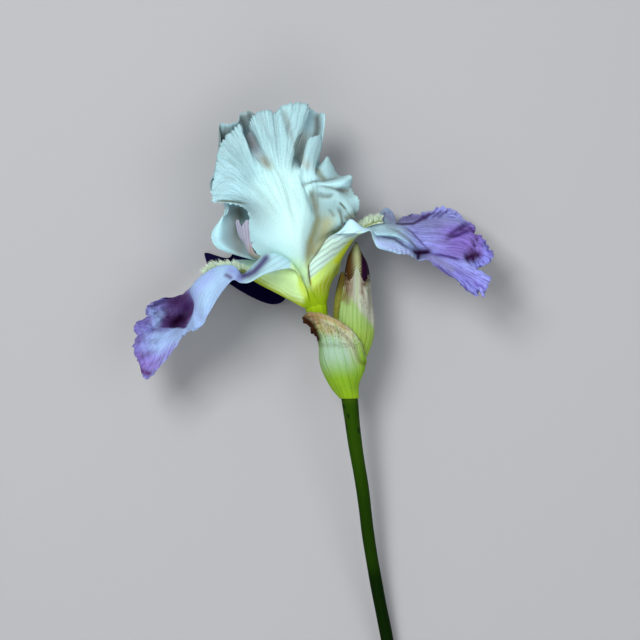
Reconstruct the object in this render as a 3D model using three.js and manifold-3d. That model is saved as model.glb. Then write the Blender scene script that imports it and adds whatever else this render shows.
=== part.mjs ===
// A cut stem of bearded iris lying on its back: one open flower, one bud and their spathes.
// Millimetres, +Z up, the surface it lies on at z = 0. The stem runs along -Y and the flower faces +Z.
import * as THREE from "three";
import Module from "manifold-3d";

const wasm = await Module();
wasm.setup();

const SHIFT = [3.35, 39.6, 0]; // brings the middle of the whole piece over the origin

const PETAL_THICKNESS = 0.7; // thickness of a petal at its margin
const CLAW_THICKNESS = 1.2; // thickness of a petal where it grows from the tube
const BRACT_THICKNESS = 0.7; // thickness of a papery bract
const FALL_FOOT = 0.7; // height of the base of a fall above the mouth of the tube
const STANDARD_FOOT = 0.6; // the same for the standards and style arms
const RING_RADIUS = 4.8; // radius of the ring of petal bases at the mouth of the tube
const STYLE_RADIUS = 1.5; // radius of the ring of style arm bases inside it
const RING_CENTRE = [-2, 7.5, 37]; // middle of the mouth of the tube
const LEAN = 0.2; // lean of the flower to the left: sine of its angle from +Y
const BEARD_LIFT = 1.4; // height of the middle of a beard's pad over the middle of the fall
const BEARD_WIDTH = 1.5; // half the width of the pad
const BEARD_HAIR = 0.4; // radius of a hair where it grows from the pad
const LEFT_UPPER = -1; // which face of each fall is the upper one, as seen along its grid's normals
const RIGHT_UPPER = 1;
const BACK_UPPER = 1;

// Point at u (0 to 1) of the smooth curve through the points, which share u evenly.
function along(points, u) {
  const spans = points.length - 1;
  const k = Math.min(Math.floor(u * spans), spans - 1);
  const f = u * spans - k;
  const p = (i) => {
    if (i < 0) return points[0].map((v, c) => 2 * v - points[1][c]);
    if (i > spans) return points[spans].map((v, c) => 2 * v - points[spans - 1][c]);
    return points[i];
  };
  const [a, b, c, d] = [p(k - 1), p(k), p(k + 1), p(k + 2)];
  return b.map((_, i) => 0.5 * (2 * b[i] + (c[i] - a[i]) * f
    + (2 * a[i] - 5 * b[i] + 4 * c[i] - d[i]) * f * f
    + (3 * b[i] - a[i] - 3 * c[i] + d[i]) * f * f * f));
}

// Point of a section at t, -1 at its left end, 0 at its middle point (index mid) and 1 at its right end.
function across({ mid, points }, t) {
  const last = points.length - 1;
  return along(points, (t < 0 ? (1 + t) * mid : mid + t * (last - mid)) / last);
}

// Grid of points of the smooth sheet through the sections: rows run from the base to the margin.
function loft(sections, rows, columns) {
  const grid = [];
  for (let i = 0; i <= rows; i++) {
    const row = [];
    for (let j = 0; j <= columns; j++) {
      const t = -1 + 2 * j / columns;
      row.push(along(sections.map((section) => across(section, t)), i / rows));
    }
    grid.push(row);
  }
  return grid;
}

// Grid with its folds softened: each point moves part of the way to the mean of its neighbours.
function soften(grid, passes) {
  let now = grid;
  for (let pass = 0; pass < passes; pass++) {
    const rows = now.length - 1;
    const columns = now[0].length - 1;
    const old = now;
    now = old.map((row, i) => row.map((p, j) => {
      if (i === 0) return p;
      const near = [];
      if (i < rows) near.push(old[i - 1][j], old[i + 1][j]);
      if (j > 0 && j < columns) near.push(row[j - 1], row[j + 1]);
      if (near.length === 0) return p;
      const share = near.length / 8;
      return p.map((v, c) => v + share * (near.reduce((sum, q) => sum + q[c], 0) / near.length - v));
    }));
  }
  return now;
}

const sub = (a, b) => a.map((v, i) => v - b[i]);
const cross = (a, b) => [a[1] * b[2] - a[2] * b[1], a[2] * b[0] - a[0] * b[2], a[0] * b[1] - a[1] * b[0]];
const unit = (a) => {
  const length = Math.hypot(...a) || 1;
  return a.map((v) => v / length);
};

// Unit normals of a grid, from the differences between its neighbours.
function normals(grid) {
  const rows = grid.length - 1;
  const columns = grid[0].length - 1;
  return grid.map((row, i) => row.map((_, j) => {
    const down = sub(grid[Math.min(i + 1, rows)][j], grid[Math.max(i - 1, 0)][j]);
    const over = sub(row[Math.min(j + 1, columns)], row[Math.max(j - 1, 0)]);
    return unit(cross(over, down));
  }));
}

// Moves each point of the grid along its normal by wave(s, t).
function ruffle(grid, wave) {
  const n = normals(grid);
  const rows = grid.length - 1;
  const columns = grid[0].length - 1;
  return grid.map((row, i) => row.map((p, j) => {
    const d = wave(i / rows, -1 + 2 * j / columns);
    return p.map((v, c) => v + n[i][j][c] * d);
  }));
}

// Closed solid of a grid given thickness(s, t), half to each side; both faces are split alike.
function sheet(grid, thickness) {
  const rows = grid.length;
  const columns = grid[0].length;
  const n = normals(grid);
  const position = [];
  for (const side of [0.5, -0.5])
    grid.forEach((row, i) => row.forEach((p, j) => {
      const d = side * thickness(i / (rows - 1), -1 + 2 * j / (columns - 1));
      const [x, y, z] = p.map((v, c) => v + n[i][j][c] * d);
      position.push(x, y, Math.max(z, 0));
    }));
  const at = (side, i, j) => (side * rows + i) * columns + j;
  const index = [];
  for (let i = 0; i < rows - 1; i++)
    for (let j = 0; j < columns - 1; j++) {
      const [a, b, c, d] = [at(0, i, j), at(0, i, j + 1), at(0, i + 1, j), at(0, i + 1, j + 1)];
      index.push(a, b, c, b, d, c);
      const [e, f, g, h] = [at(1, i, j), at(1, i, j + 1), at(1, i + 1, j), at(1, i + 1, j + 1)];
      index.push(e, g, f, f, g, h);
    }
  const rim = (one, next) => {
    const [a, b, c, d] = [at(0, ...one), at(1, ...one), at(0, ...next), at(1, ...next)];
    index.push(a, b, c, c, b, d);
  };
  for (let j = 0; j < columns - 1; j++) {
    rim([0, j], [0, j + 1]);
    rim([rows - 1, j + 1], [rows - 1, j]);
  }
  for (let i = 0; i < rows - 1; i++) {
    rim([i + 1, 0], [i, 0]);
    rim([i, columns - 1], [i + 1, columns - 1]);
  }
  return facingOut(position, index);
}

// Geometry of a closed mesh with its faces turned outwards.
function facingOut(position, index) {
  let volume = 0;
  for (let k = 0; k < index.length; k += 3) {
    const [a, b, c] = [0, 1, 2].map((m) => position.slice(3 * index[k + m], 3 * index[k + m] + 3));
    const [x, y, z] = cross(b, c);
    volume += a[0] * x + a[1] * y + a[2] * z;
  }
  if (volume < 0) index.reverse();
  const geometry = new THREE.BufferGeometry();
  geometry.setAttribute("position", new THREE.Float32BufferAttribute(position, 3));
  geometry.setIndex(index);
  geometry.computeVertexNormals();
  return geometry;
}

const smooth = (low, high, x) => {
  const f = Math.min(Math.max((x - low) / (high - low), 0), 1);
  return f * f * (3 - 2 * f);
};

// Ripples along the margin of a petal, count of them in a full turn round the middle of its blade.
const ripples = (depth, count, phase) => (s, t) => {
  const edge = smooth(0.55, 1, Math.max(s, Math.abs(t) * smooth(0.25, 0.5, s)));
  return depth * edge * Math.sin(count * Math.atan2(t, (s - 0.4) / 0.6) + phase);
};
const petalThickness = (s) => CLAW_THICKNESS + (PETAL_THICKNESS - CLAW_THICKNESS) * smooth(0, 0.2, s);

// A section: its points in order, and which of them lies on the midrib.
const section = (mid, ...points) => ({ mid, points });

// Point over the mouth of the tube: its angle (0 is +X, 90 is +Z), its radius and its height.
function mouth(angle, radius, height) {
  const a = angle * Math.PI / 180;
  const up = [-LEAN, Math.sqrt(1 - LEAN * LEAN), 0];
  const out = [Math.cos(a) * up[1], Math.cos(a) * LEAN, Math.sin(a)];
  return RING_CENTRE.map((v, c) => v + radius * out[c] + height * up[c]);
}

// Section where a petal grows from the mouth of the tube, between two angles.
const root = (from, to, radius, height) =>
  section(1, ...[0, 0.5, 1].map((f) => mouth(from + (to - from) * f, radius, height)));

// Front standard, left margin first.
const STANDARD_FRONT = [
  root(108, 72, RING_RADIUS, STANDARD_FOOT),
  section(1, [-8.4, 16.4, 45], [-6.7, 16.8, 45.5], [-4.9, 16.4, 45.1]),
  section(2, [-12.5, 22.9, 47.3], [-10.8, 24, 48.4], [-8.5, 24.7, 49],
    [-6.9, 24.9, 48.9], [-5.4, 24.7, 48.4]),
  section(3, [-30.3, 32, 46], [-24, 34.5, 52], [-16, 36.5, 57.5], [-8.6, 37.5, 59.5], [-6.6, 37.8, 55.5],
    [-1.5, 37.5, 48.5], [5, 38.5, 46]),
  section(3, [-33, 49.5, 47], [-27, 50, 54.5], [-20, 51, 60], [-13, 51.5, 62.5], [-6, 51.5, 60],
    [-1, 50, 53], [5, 47.5, 50], [12, 45, 50]),
  section(4, [-42, 53, 51], [-39, 60, 57], [-34, 68, 59], [-26, 72, 60], [-19.5, 69, 62], [-10, 66, 61],
    [-3, 62, 60], [4, 61, 57.5], [9, 56.5, 56], [15, 47, 53]),
  section(11, [-48.5, 53.5, 53], [-49.5, 57, 54], [-49, 62, 53], [-47.5, 68, 51], [-46.8, 75, 50],
    [-45, 81, 49.5], [-40, 86.3, 51], [-36, 89.3, 53], [-33.5, 86, 45], [-31.5, 91, 49], [-28.5, 95.3, 51],
    [-24, 96.3, 52], [-18, 98.5, 51], [-12, 99.5, 49], [-5, 98.5, 46], [-5.5, 90, 42], [-9.5, 85, 41],
    [-12.3, 79, 41], [-10, 73, 42], [-6.5, 69.5, 42], [-6.3, 77, 49], [-4, 83.3, 51], [-0.8, 84, 47.5],
    [-2.2, 78, 46.5], [-2.6, 72.6, 46.5], [0.6, 72, 47], [3.4, 74.5, 48], [5, 69, 46], [9, 65.3, 47],
    [13.7, 65, 50], [14, 60.5, 47], [17, 56, 51], [18, 51.5, 50], [17, 47, 49]),
];

// Left fall, far margin first.
const FALL_LEFT = [
  root(182, 128, RING_RADIUS, FALL_FOOT),
  section(2, [-12.6, 14.5, 33.5], [-13, 11, 36], [-12.6, 8.9, 40], [-11.4, 10.6, 43.6], [-10.5, 12.2, 45.5],
    [-9.9, 13.8, 46.9], [-9.5, 15.1, 48], [-9.3, 16.1, 49], [-9.3, 17, 50]),
  section(2, [-20, 22, 30], [-20.5, 15.5, 34], [-20, 12.6, 41.5], [-18, 15.5, 46.5], [-15.4, 19, 49.2],
    [-13.6, 23, 50.8], [-14.6, 27, 52.3], [-15.3, 26.7, 55.2], [-15, 23.6, 57]),
  section(2, [-28, 27, 25], [-28.5, 19.5, 31], [-27.5, 16.4, 42.5], [-26, 18, 48], [-23, 21, 52],
    [-20.5, 26, 53.4], [-23, 30.6, 55], [-24.5, 27.2, 58.6], [-24, 21.2, 60.3]),
  section(2, [-37, 28, 19], [-37, 23, 29], [-35, 20.8, 42], [-34, 19, 47.5], [-32, 20.5, 52],
    [-29.5, 24, 55], [-29.5, 26, 57.5], [-31.5, 22, 60.3], [-31.5, 17.2, 61.5]),
  section(2, [-42, 27, 16], [-42, 24, 28], [-40, 22, 42], [-38, 19.5, 48], [-36.5, 19.7, 53],
    [-35.3, 20.2, 56], [-35, 20.6, 58.5], [-35, 18.5, 60.5], [-35.2, 16.8, 61.5]),
  section(2, [-48, 24, 14], [-48, 23, 27], [-45.5, 22.2, 40.5], [-43, 20.3, 47.5], [-41, 22, 52],
    [-39.3, 24.6, 55.5], [-38.9, 22.5, 59], [-39.2, 20, 61], [-39.4, 18, 61.8]),
  section(2, [-55, 20, 11], [-54, 20, 24], [-51.5, 20.4, 38], [-50, 20.5, 46], [-48.5, 23, 52],
    [-47.5, 24, 56], [-45.5, 21, 60.5], [-44, 17.5, 62.5], [-43, 14.6, 63]),
  section(2, [-62, 14, 8], [-62, 12, 20], [-61.5, 10, 30], [-60, 12, 40], [-59, 14.5, 50], [-57.5, 15.5, 56],
    [-54, 12.5, 61.5], [-51, 9, 63.5], [-47.2, 8.5, 63.5]),
  section(2, [-64, 12, 9], [-66, 8, 19], [-67.5, 2, 26], [-63.5, 0, 28], [-58.5, 3, 38], [-57.2, 5.5, 49],
    [-57, 4.2, 57.5], [-54, 1.8, 61.5], [-51.1, 1.3, 63]),
  section(2, [-66, 11.5, 11], [-69, 8, 20], [-72, 0, 29], [-69, -4, 38], [-64.5, -4, 41], [-60.8, -1, 48],
    [-58.5, 0.5, 56.5], [-55.5, -1, 61.5], [-52.4, -0.8, 63]),
  section(2, [-69.5, 10.5, 16], [-74.5, 6, 26], [-78, -6, 35], [-76, -12, 42], [-71, -11, 46.5],
    [-65.5, -8, 49], [-61.3, -4.3, 54], [-57, -3.3, 61], [-53.6, -2.6, 62.8]),
  section(8, [-72, 10.5, 20], [-75, 9.5, 25], [-78, 7.5, 30], [-81, 4.5, 31], [-80, 0.5, 30],
    [-84, -0.5, 34], [-86, -4, 36], [-85, -8, 35], [-86.5, -12.5, 39], [-85, -17, 38], [-83, -20.3, 41],
    [-80, -27.3, 47], [-75, -23, 50], [-70, -17.5, 51.5], [-65.5, -11.5, 52], [-62, -7, 54.5],
    [-59.8, -5.3, 58], [-57, -4.7, 61], [-54.8, -3.9, 62.5]),
];

// Right fall, far margin first.
const FALL_RIGHT = [
  root(-2, 52, RING_RADIUS, FALL_FOOT),
  section(2, [2.8, 17.5, 35.5], [4, 16, 37], [4.1, 15.2, 39.5], [2.8, 15, 43], [0.5, 15.5, 45.8],
    [-2, 16, 47.3], [-4, 16.2, 47.8]),
  section(2, [7.3, 26.5, 32.5], [8, 25, 35.5], [8, 25, 39.5], [6.5, 24.5, 44], [3, 25, 48],
    [-0.5, 25.5, 50.3], [-4.3, 25, 51]),
  section(2, [12, 34.5, 29], [12.3, 33, 33.5], [12.1, 32.2, 39.5], [10.5, 32, 45], [7, 32.5, 49.5],
    [3, 32.5, 52.5], [0.2, 31.2, 53.5]),
  section(2, [18.5, 41, 26], [17.3, 39, 32], [15.8, 37.8, 40], [14.5, 37.3, 46], [12, 38, 51],
    [8.5, 38.8, 53.5], [4.8, 38.2, 54.8]),
  section(2, [22.5, 44.5, 24], [20.3, 42, 31], [18.3, 39.4, 41], [17.5, 39.2, 46.5], [16, 40, 50.5],
    [13.5, 44, 53], [13.5, 46, 54.5], [13, 43, 57], [12.5, 39.4, 58]),
  section(2, [24.5, 46, 22], [22.5, 43.3, 30.5], [21, 41, 41], [20, 41, 47], [19.2, 41.5, 51],
    [18.8, 42, 53.5], [19, 42.2, 55], [19, 41, 56.5], [19, 39.4, 57.5]),
  section(2, [26.5, 47, 19], [25.3, 44.5, 29], [24.5, 42.8, 40], [24, 42.2, 47], [23.5, 41.5, 52],
    [23.3, 40.8, 54.5], [23.2, 40.2, 56]),
  section(3, [30.5, 52, 12], [30, 48, 20], [29.5, 45, 30], [29, 43.6, 40], [28, 42.5, 47], [27, 40.5, 52],
    [26.2, 38.8, 54.5], [26.5, 37.8, 54], [25.5, 36.5, 58.5], [25.7, 34.5, 61], [25.5, 33.5, 61.5]),
  section(3, [34.8, 47, 14], [35, 45, 22], [35, 44.2, 32], [36, 42, 41], [35.5, 40.5, 47], [35, 38, 51],
    [34.8, 36.8, 50], [34, 34.5, 56], [34, 32, 58], [34, 31.2, 58]),
  section(3, [38, 47.7, 7], [39, 46, 15], [40, 44.5, 29], [40.7, 40.5, 41], [40.8, 38, 46.5],
    [41, 35.5, 48.5], [40.8, 33.2, 47], [41, 31.5, 52], [41.5, 30.1, 56]),
  section(3, [42.5, 49.3, -1.5], [43.5, 47.3, 8.5], [45, 44.6, 26], [45.5, 38.5, 41], [45.8, 34.8, 45],
    [46, 31.8, 42.5], [46.4, 29.9, 39.5], [45.7, 28.2, 45], [45.2, 26.5, 51]),
  section(3, [47, 49.3, 4], [48.5, 47.8, 12], [50, 44.5, 27], [50.8, 38.3, 41], [51.3, 34, 45.5],
    [51.7, 31.4, 47], [50.9, 30, 47.2], [49.9, 28.8, 50], [49.3, 27.4, 53]),
  section(3, [50, 50.5, 6], [53, 49, 15], [55, 44, 28], [56, 38, 40], [57, 33.5, 46.5], [57, 29.8, 50],
    [55.5, 27, 52], [55, 25, 52], [54.5, 23.3, 52]),
  section(3, [57, 52, 12], [61, 48, 22], [64, 43, 32], [66, 37, 40], [67, 32.5, 42], [66, 27.7, 48],
    [65, 23, 51], [64.5, 19, 52], [63.5, 16.8, 52]),
  section(10, [60, 52, 12], [63, 51, 16], [65.8, 48.7, 20], [67.8, 45.8, 22], [70.3, 45.2, 22],
    [71.8, 42.5, 24], [71.6, 39.5, 28], [75, 38, 32], [77.5, 34, 34], [79.5, 31, 38], [79.3, 28, 40],
    [75, 25, 42],
    [71.8, 23.4, 42.5], [71.8, 21.4, 45], [75, 20, 48], [78, 19.5, 50], [78, 18, 51], [76.3, 15, 51],
    [75, 11.3, 52], [72.5, 13, 50], [71.5, 10.2, 52], [67.5, 13.2, 52]),
];

// Back fall, which lies on the surface; the margin towards the stem first.
const FALL_BACK = [
  root(243, 297, RING_RADIUS, FALL_FOOT + 0.3),
  section(1, [-9, 11.5, 27], [-4.5, 9.8, 25.5], [0.5, 12, 27]),
  section(1, [-14, 13.5, 17.5], [-9, 12.3, 15.5], [-3.5, 15, 16.5]),
  section(1, [-17.5, 8.5, 7.5], [-16, 17, 5], [-9, 25, 6]),
  section(2, [-24, 7.5, 4], [-25, 14, 1.5], [-26, 21, 0.4], [-22, 32, 0.6], [-17, 42, 3]),
  section(2, [-35, 12.3, 3.5], [-36, 18, 1], [-36, 25, 0.3], [-32, 36, 0.5], [-27, 46, 3]),
  section(2, [-46, 19.5, 4], [-44.5, 23, 1.5], [-44, 26, 0.3], [-39, 31, 0.6], [-33, 41, 3]),
  section(3, [-49, 22, 5], [-52, 24, 5], [-53.5, 28, 4.5], [-54, 31.7, 4], [-48, 30, 3], [-42.5, 29, 3],
    [-39, 36, 3], [-36, 42, 3.5]),
];

// Back left standard, near margin first.
const STANDARD_BACK_LEFT = [
  root(192, 228, RING_RADIUS, STANDARD_FOOT),
  section(1, [-10, 17, 34.8], [-9, 17.5, 32], [-6.3, 18, 29.6]),
  section(1, [-23, 25.5, 36], [-21, 27, 28], [-13.5, 28.5, 21], [-6, 28.5, 17.5]),
  section(3, [-46.5, 32.3, 43], [-44, 35, 30], [-33, 38, 17], [-20, 40, 10], [-8, 41, 8], [0, 40, 11]),
  section(3, [-49.5, 40.5, 45], [-46, 44, 32], [-37, 48, 17], [-24, 50, 8], [-10, 50, 5], [0, 48, 9]),
  section(3, [-41, 51.5, 42], [-43, 55, 32], [-38, 60, 17], [-26, 62, 8], [-13, 61, 5], [-2, 58, 10]),
  section(3, [-51, 61, 38], [-46, 68, 28], [-40, 73, 19], [-28, 74, 12], [-17, 73, 10], [-8, 69, 14]),
  section(5, [-46.5, 70, 40], [-45.5, 80, 41], [-46.3, 89.5, 42], [-42, 90.3, 41.5], [-38, 91, 42],
    [-36, 95, 42], [-33, 96.3, 41], [-28, 94, 36], [-22, 92, 32], [-17, 90, 28], [-13, 84, 24]),
];

// Back right standard, far margin first.
const STANDARD_BACK_RIGHT = [
  root(312, 348, RING_RADIUS, STANDARD_FOOT),
  section(1, [-1.2, 18, 29.8], [0.8, 18, 31], [2, 18.3, 33]),
  section(1, [-2, 29, 19.5], [3.5, 30, 20.5], [7.5, 31, 24]),
  section(1, [3, 43, 6.5], [8, 44, 8], [12, 45, 12], [14, 46, 19]),
  section(1, [4, 57, 5.5], [8, 57, 5.5], [12, 57, 9], [14, 56, 16]),
  section(1, [-5, 70, 12], [0, 70, 12], [3, 69, 18], [5, 66, 26]),
  section(4, [-14, 84, 30], [-13, 92, 33], [-9, 96, 36], [-4.5, 97, 37], [-0.5, 95, 37], [2.2, 95, 41],
    [2, 88, 41], [0.8, 80, 39], [-1.2, 71.5, 36], [2, 66, 32], [7, 62, 26]),
];

// Style arms, each a strap over a fall that ends in an upturned crest of two lobes.
const STYLE_ARM_LEFT = [
  root(184, 126, STYLE_RADIUS, STANDARD_FOOT),
  section(1, [-6.9, 17.5, 36.7], [-7.3, 17, 38.9], [-6.3, 17.5, 41]),
  section(1, [-17, 24, 36.5], [-17.5, 23, 40.5], [-16, 24.5, 44]),
  section(1, [-26, 28, 35.5], [-27, 27, 40.5], [-25, 28.3, 45]),
  section(1, [-31, 31, 34.5], [-32.5, 30.5, 40], [-30.3, 31, 44.5]),
  section(1, [-36, 38, 34], [-35, 38, 39], [-32.3, 38, 43.5]),
  section(2, [-38.5, 46, 34], [-37.5, 47, 37], [-36, 43, 39], [-34.5, 45.5, 41], [-33, 44, 43.5]),
];
const STYLE_ARM_RIGHT = [
  root(-4, 54, STYLE_RADIUS, STANDARD_FOOT),
  section(1, [0.9, 19.3, 35.8], [0.3, 19.6, 38.5], [-0.9, 19.3, 41]),
  section(1, [5, 30, 34.5], [3.5, 31, 38], [1.5, 30.5, 41]),
  section(1, [10.5, 38.5, 33], [8, 40.5, 37], [5.5, 40, 41]),
  section(1, [11.5, 43, 33], [9, 45, 37.5], [6.5, 44, 41]),
  section(1, [9, 50, 33], [6, 51, 37], [3.5, 50, 40.5]),
  section(2, [8, 57, 34], [6.5, 58.5, 36], [4.5, 55, 38], [2.5, 58, 40], [1, 56.5, 41.5]),
];
const STYLE_ARM_BACK = [
  root(241, 299, STYLE_RADIUS, STANDARD_FOOT),
  section(1, [-6, 18, 34.5], [-3.8, 18, 33.3], [-1.8, 18.5, 34.5]),
  section(1, [-10.5, 29, 31], [-6.5, 29, 29], [-2, 30, 31]),
  section(1, [-14, 40, 29], [-8.5, 41, 26.5], [-2, 41, 29]),
  section(2, [-14, 50, 31], [-11.5, 51, 30], [-8.5, 47, 28], [-5, 51, 30], [-2.5, 50.5, 31.5]),
];

// Section of a wrapped bract on a circle round a stalk: angles as for the mouth of the tube.
const wrap = (mid, [x, y, z], radius, ...angles) => section(mid, ...angles.map((angle) => {
  const a = angle * Math.PI / 180;
  return [x + radius * Math.cos(a), y, z + radius * Math.sin(a)];
}));

// Spathe bract of the open flower, right margin first.
const OUTER_BRACT = [
  wrap(3, [13.6, -35.9, 29.9], 4.75, -30, 20, 80, 130, 175, 220),
  section(3, [17, -30.5, 28], [17.5, -30, 33], [13, -29, 38], [7.5, -29.3, 37.2], [4.7, -30.3, 32.5],
    [6.5, -30.5, 27.5]),
  section(3, [19.8, -25, 30], [19.2, -22.5, 37], [11, -20, 42], [3.5, -19.5, 40.3], [0.3, -20.5, 34.5],
    [2, -22, 28]),
  section(4, [21.3, -20, 34.5], [19.2, -15.5, 40], [13, -11.5, 43], [6, -9.5, 44], [0.3, -8, 41.5],
    [-0.5, -10, 36], [0, -12, 30]),
  section(6, [20.9, -16.3, 37.6], [19, -10.2, 42], [15, -5, 43.7], [10, -1, 44.8], [5, 1.5, 45],
    [0, 3.2, 44.5], [-5, 3.6, 43], [-8, 1, 41], [-5, -2.8, 38], [-3, -5.5, 36.5], [-1.3, -7.5, 34],
    [-0.5, -9.5, 30]),
];
// Front bract of the bud, left margin first.
const BUD_BRACT_FRONT = [
  wrap(1, [14.9, -34, 30.2], 1.7, 105, 30, -50),
  section(1, [13, -25, 33.8], [15.1, -25, 34.2], [17, -25, 31.5], [16.5, -25, 28.8]),
  section(1, [11.9, -20, 35.6], [15, -20, 36.6], [19.2, -20, 32.3], [17.9, -20, 28]),
  section(2, [11, -15, 37.3], [14, -15, 38.8], [18, -15, 38], [22.3, -15, 33], [19, -15, 27]),
  section(2, [8.6, -4, 39], [13, -4.5, 41.6], [19, -5, 41], [24.9, -5, 34], [20.5, -5, 26.5]),
  section(2, [9.8, 8.5, 40], [13.5, 8.5, 42.3], [19, 8, 42], [23.7, 8, 34.5], [20.5, 8, 28]),
  section(4, [11.8, 21.5, 38.8], [13.2, 18, 40.7], [15.5, 14.5, 42], [18.5, 15.5, 41.5], [21, 18, 39.5],
    [22.8, 20.7, 36], [22.5, 17, 32], [20, 13.5, 29.3]),
];
// Back bract of the bud, front margin first.
const BUD_BRACT_BACK = [
  wrap(1, [14.9, -34, 30.2], 1.7, 130, 200, 280),
  section(1, [12.9, -25, 33], [12.2, -25, 30.5], [14, -25, 27.9], [15.7, -25, 27.4]),
  section(1, [12.4, -15, 35.8], [10.2, -15, 32.5], [12.5, -15, 27], [17, -15, 25.4]),
  section(1, [9.6, -4, 37.6], [6.7, -4, 33.8], [9.5, -4, 27], [17, -4, 24.8]),
  section(1, [10.3, 8, 37.8], [6.9, 8.5, 34.5], [9.3, 8, 28], [17, 8, 26.3]),
  section(1, [11.6, 20, 37.5], [10, 22.3, 35.5], [9.8, 18, 32], [12, 13, 29], [16, 10, 28.3]),
];

// Rods: stations of x, y, z and radius.
const STEM = [[36.6, -178, 2.78, 2.9], [31.5, -150, 8.6, 2.9], [26.8, -126, 13, 2.9],
  [22.7, -102, 17.5, 2.9], [19.8, -79, 21.8, 3], [16.2, -57, 26, 3.25], [13.5, -35, 30, 3.85]];
const TUBE = [[11.1, -34.2, 30.4, 1.3], [9, -26, 32, 2.1], [6.8, -19.5, 33.2, 3.4], [4.7, -13, 34.2, 3.7],
  [3, -7, 35, 2.9], [0.8, -1.5, 36.2, 3.3], [-1.2, 4, 36.9, 4.9], [-2, 7.5, 37, 5.5]];
const BUD = [[14.9, -34.2, 30.3, 0.8], [15, -25, 31, 1.2], [15.6, -15, 32, 3.4], [15.8, 0, 33.5, 6],
  [16, 10, 34.4, 5.8], [16.4, 20, 34.9, 4.8], [16.5, 28, 35.1, 3.4], [16.6, 33, 35.2, 1.9],
  [16.7, 36, 35.3, 0.5]];

// Stamens: a thin filament that ends in a long anther.
const STAMEN_LEFT = [[-4.7, 7.6, 38.2, 0.5], [-8.2, 12.6, 39.5, 0.5], [-13.5, 16.8, 40.5, 0.5],
  [-18, 19.4, 41, 0.6], [-20, 20.4, 41.2, 1.1], [-24, 22.2, 41.5, 1.1], [-27.5, 23.8, 41.8, 0.5]];
const STAMEN_RIGHT = [[0.5, 8.7, 38.2, 0.5], [1.2, 13.5, 38.4, 0.5], [2.6, 19, 38.6, 0.5],
  [4.5, 24.5, 38.5, 0.6], [5.6, 27, 38.4, 1.1], [7.8, 31.5, 38.2, 1.1], [10, 35.3, 38, 0.5]];
const STAMEN_BACK = [[-2, 8.2, 34.1, 0.5], [-2.8, 11.3, 32, 0.5], [-4.4, 14.3, 29, 0.5],
  [-6, 16.8, 26.2, 0.6], [-6.6, 18, 24.9, 1.1], [-8, 20.5, 21.8, 1.1], [-9.2, 22.3, 19.4, 0.5]];

// Closed solid round a line of stations; bulge(angle, u) scales its radius.
function rod(stations, steps, sides, bulge = () => 1) {
  const position = [];
  const index = [];
  for (let i = 0; i <= steps; i++) {
    const u = i / steps;
    const [x, y, z, r] = along(stations, u);
    const before = along(stations, Math.max(u - 0.01, 0));
    const after = along(stations, Math.min(u + 0.01, 1));
    const ahead = unit(sub(after.slice(0, 3), before.slice(0, 3)));
    const side = unit(cross(ahead, [0, 0, 1]));
    const up = cross(side, ahead);
    for (let k = 0; k < sides; k++) {
      const a = 2 * Math.PI * k / sides;
      const d = r * bulge(a, u);
      const out = side.map((v, c) => Math.cos(a) * v + Math.sin(a) * up[c]);
      position.push(x + d * out[0], y + d * out[1], z + d * out[2]);
    }
  }
  for (let i = 0; i < steps; i++)
    for (let k = 0; k < sides; k++) {
      const [a, b] = [i * sides + k, i * sides + (k + 1) % sides];
      index.push(a, b, a + sides, b, b + sides, a + sides);
    }
  for (let k = 1; k < sides - 1; k++) {
    index.push(0, k + 1, k);
    const top = steps * sides;
    index.push(top, top + k, top + k + 1);
  }
  return facingOut(position, index);
}

// Beard over the middle of a fall between two shares of its length: a slim pad with hairs fused to it.
function beard(sections, from, to, side, length, count, seed) {
  const rows = 8;
  const point = (s, t) => along(sections.map((one) => across(one, t)), s);
  const lift = (s, t) => {
    const down = sub(point(s + 0.004, t), point(s - 0.004, t));
    const over = sub(point(s, t + 0.03), point(s, t - 0.03));
    const up = unit(cross(over, down)).map((v) => side * v);
    return { up, at: point(s, t).map((v, c) => v + up[c] * BEARD_LIFT) };
  };
  const spot = (f, w) => {
    const s = from + (to - from) * f;
    const reach = Math.hypot(...sub(point(s, 0.05), point(s, -0.05))) / 0.1;
    return [s, w * BEARD_WIDTH * Math.sqrt(Math.max(1 - (2 * f - 1) ** 4, 0.04)) / reach];
  };
  const grid = [];
  for (let i = 0; i <= rows; i++)
    grid.push([-1, -0.5, 0, 0.5, 1].map((w) => lift(...spot(i / rows, w)).at));
  let body = solid(sheet(grid, (s, t) => 0.9 - 0.25 * t * t));
  let random = seed;
  const chance = () => {
    random = (random * 16807) % 2147483647;
    return random / 2147483647;
  };
  for (let k = 0; k < count; k++) {
    const f = 0.04 + 0.92 * (k + 0.5 * chance()) / count;
    const { up, at } = lift(...spot(f, 1.5 * (chance() - 0.5)));
    const toward = unit(up.map((v) => v + 0.7 * (chance() - 0.5)));
    const reach = length * (0.65 + 0.35 * chance()) * Math.sin(0.5 + 2.3 * f);
    const tip = at.map((v, c) => v + toward[c] * reach);
    const u = unit(cross(toward, [0.3, 0.5, 0.8]));
    const w = cross(toward, u);
    const corner = (a) => at.map((v, c) => v + BEARD_HAIR * (Math.cos(a) * u[c] + Math.sin(a) * w[c]));
    const base = [0, 1, 2].flatMap((m) => corner(m * 2 * Math.PI / 3));
    body = body.add(solid(facingOut([...base, ...tip], [0, 2, 1, 0, 1, 3, 1, 2, 3, 2, 0, 3])));
  }
  const { vertProperties, triVerts } = body.simplify(0.05).getMesh();
  return facingOut([...vertProperties], [...triVerts]);
}

// Solid of a closed geometry, ready to be joined to others.
function solid(geometry) {
  const vertProperties = Float32Array.from(geometry.attributes.position.array);
  const triVerts = Uint32Array.from(geometry.index.array);
  return new wasm.Manifold(new wasm.Mesh({ numProp: 3, vertProperties, triVerts }));
}

const iris = new THREE.Group();

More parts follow.
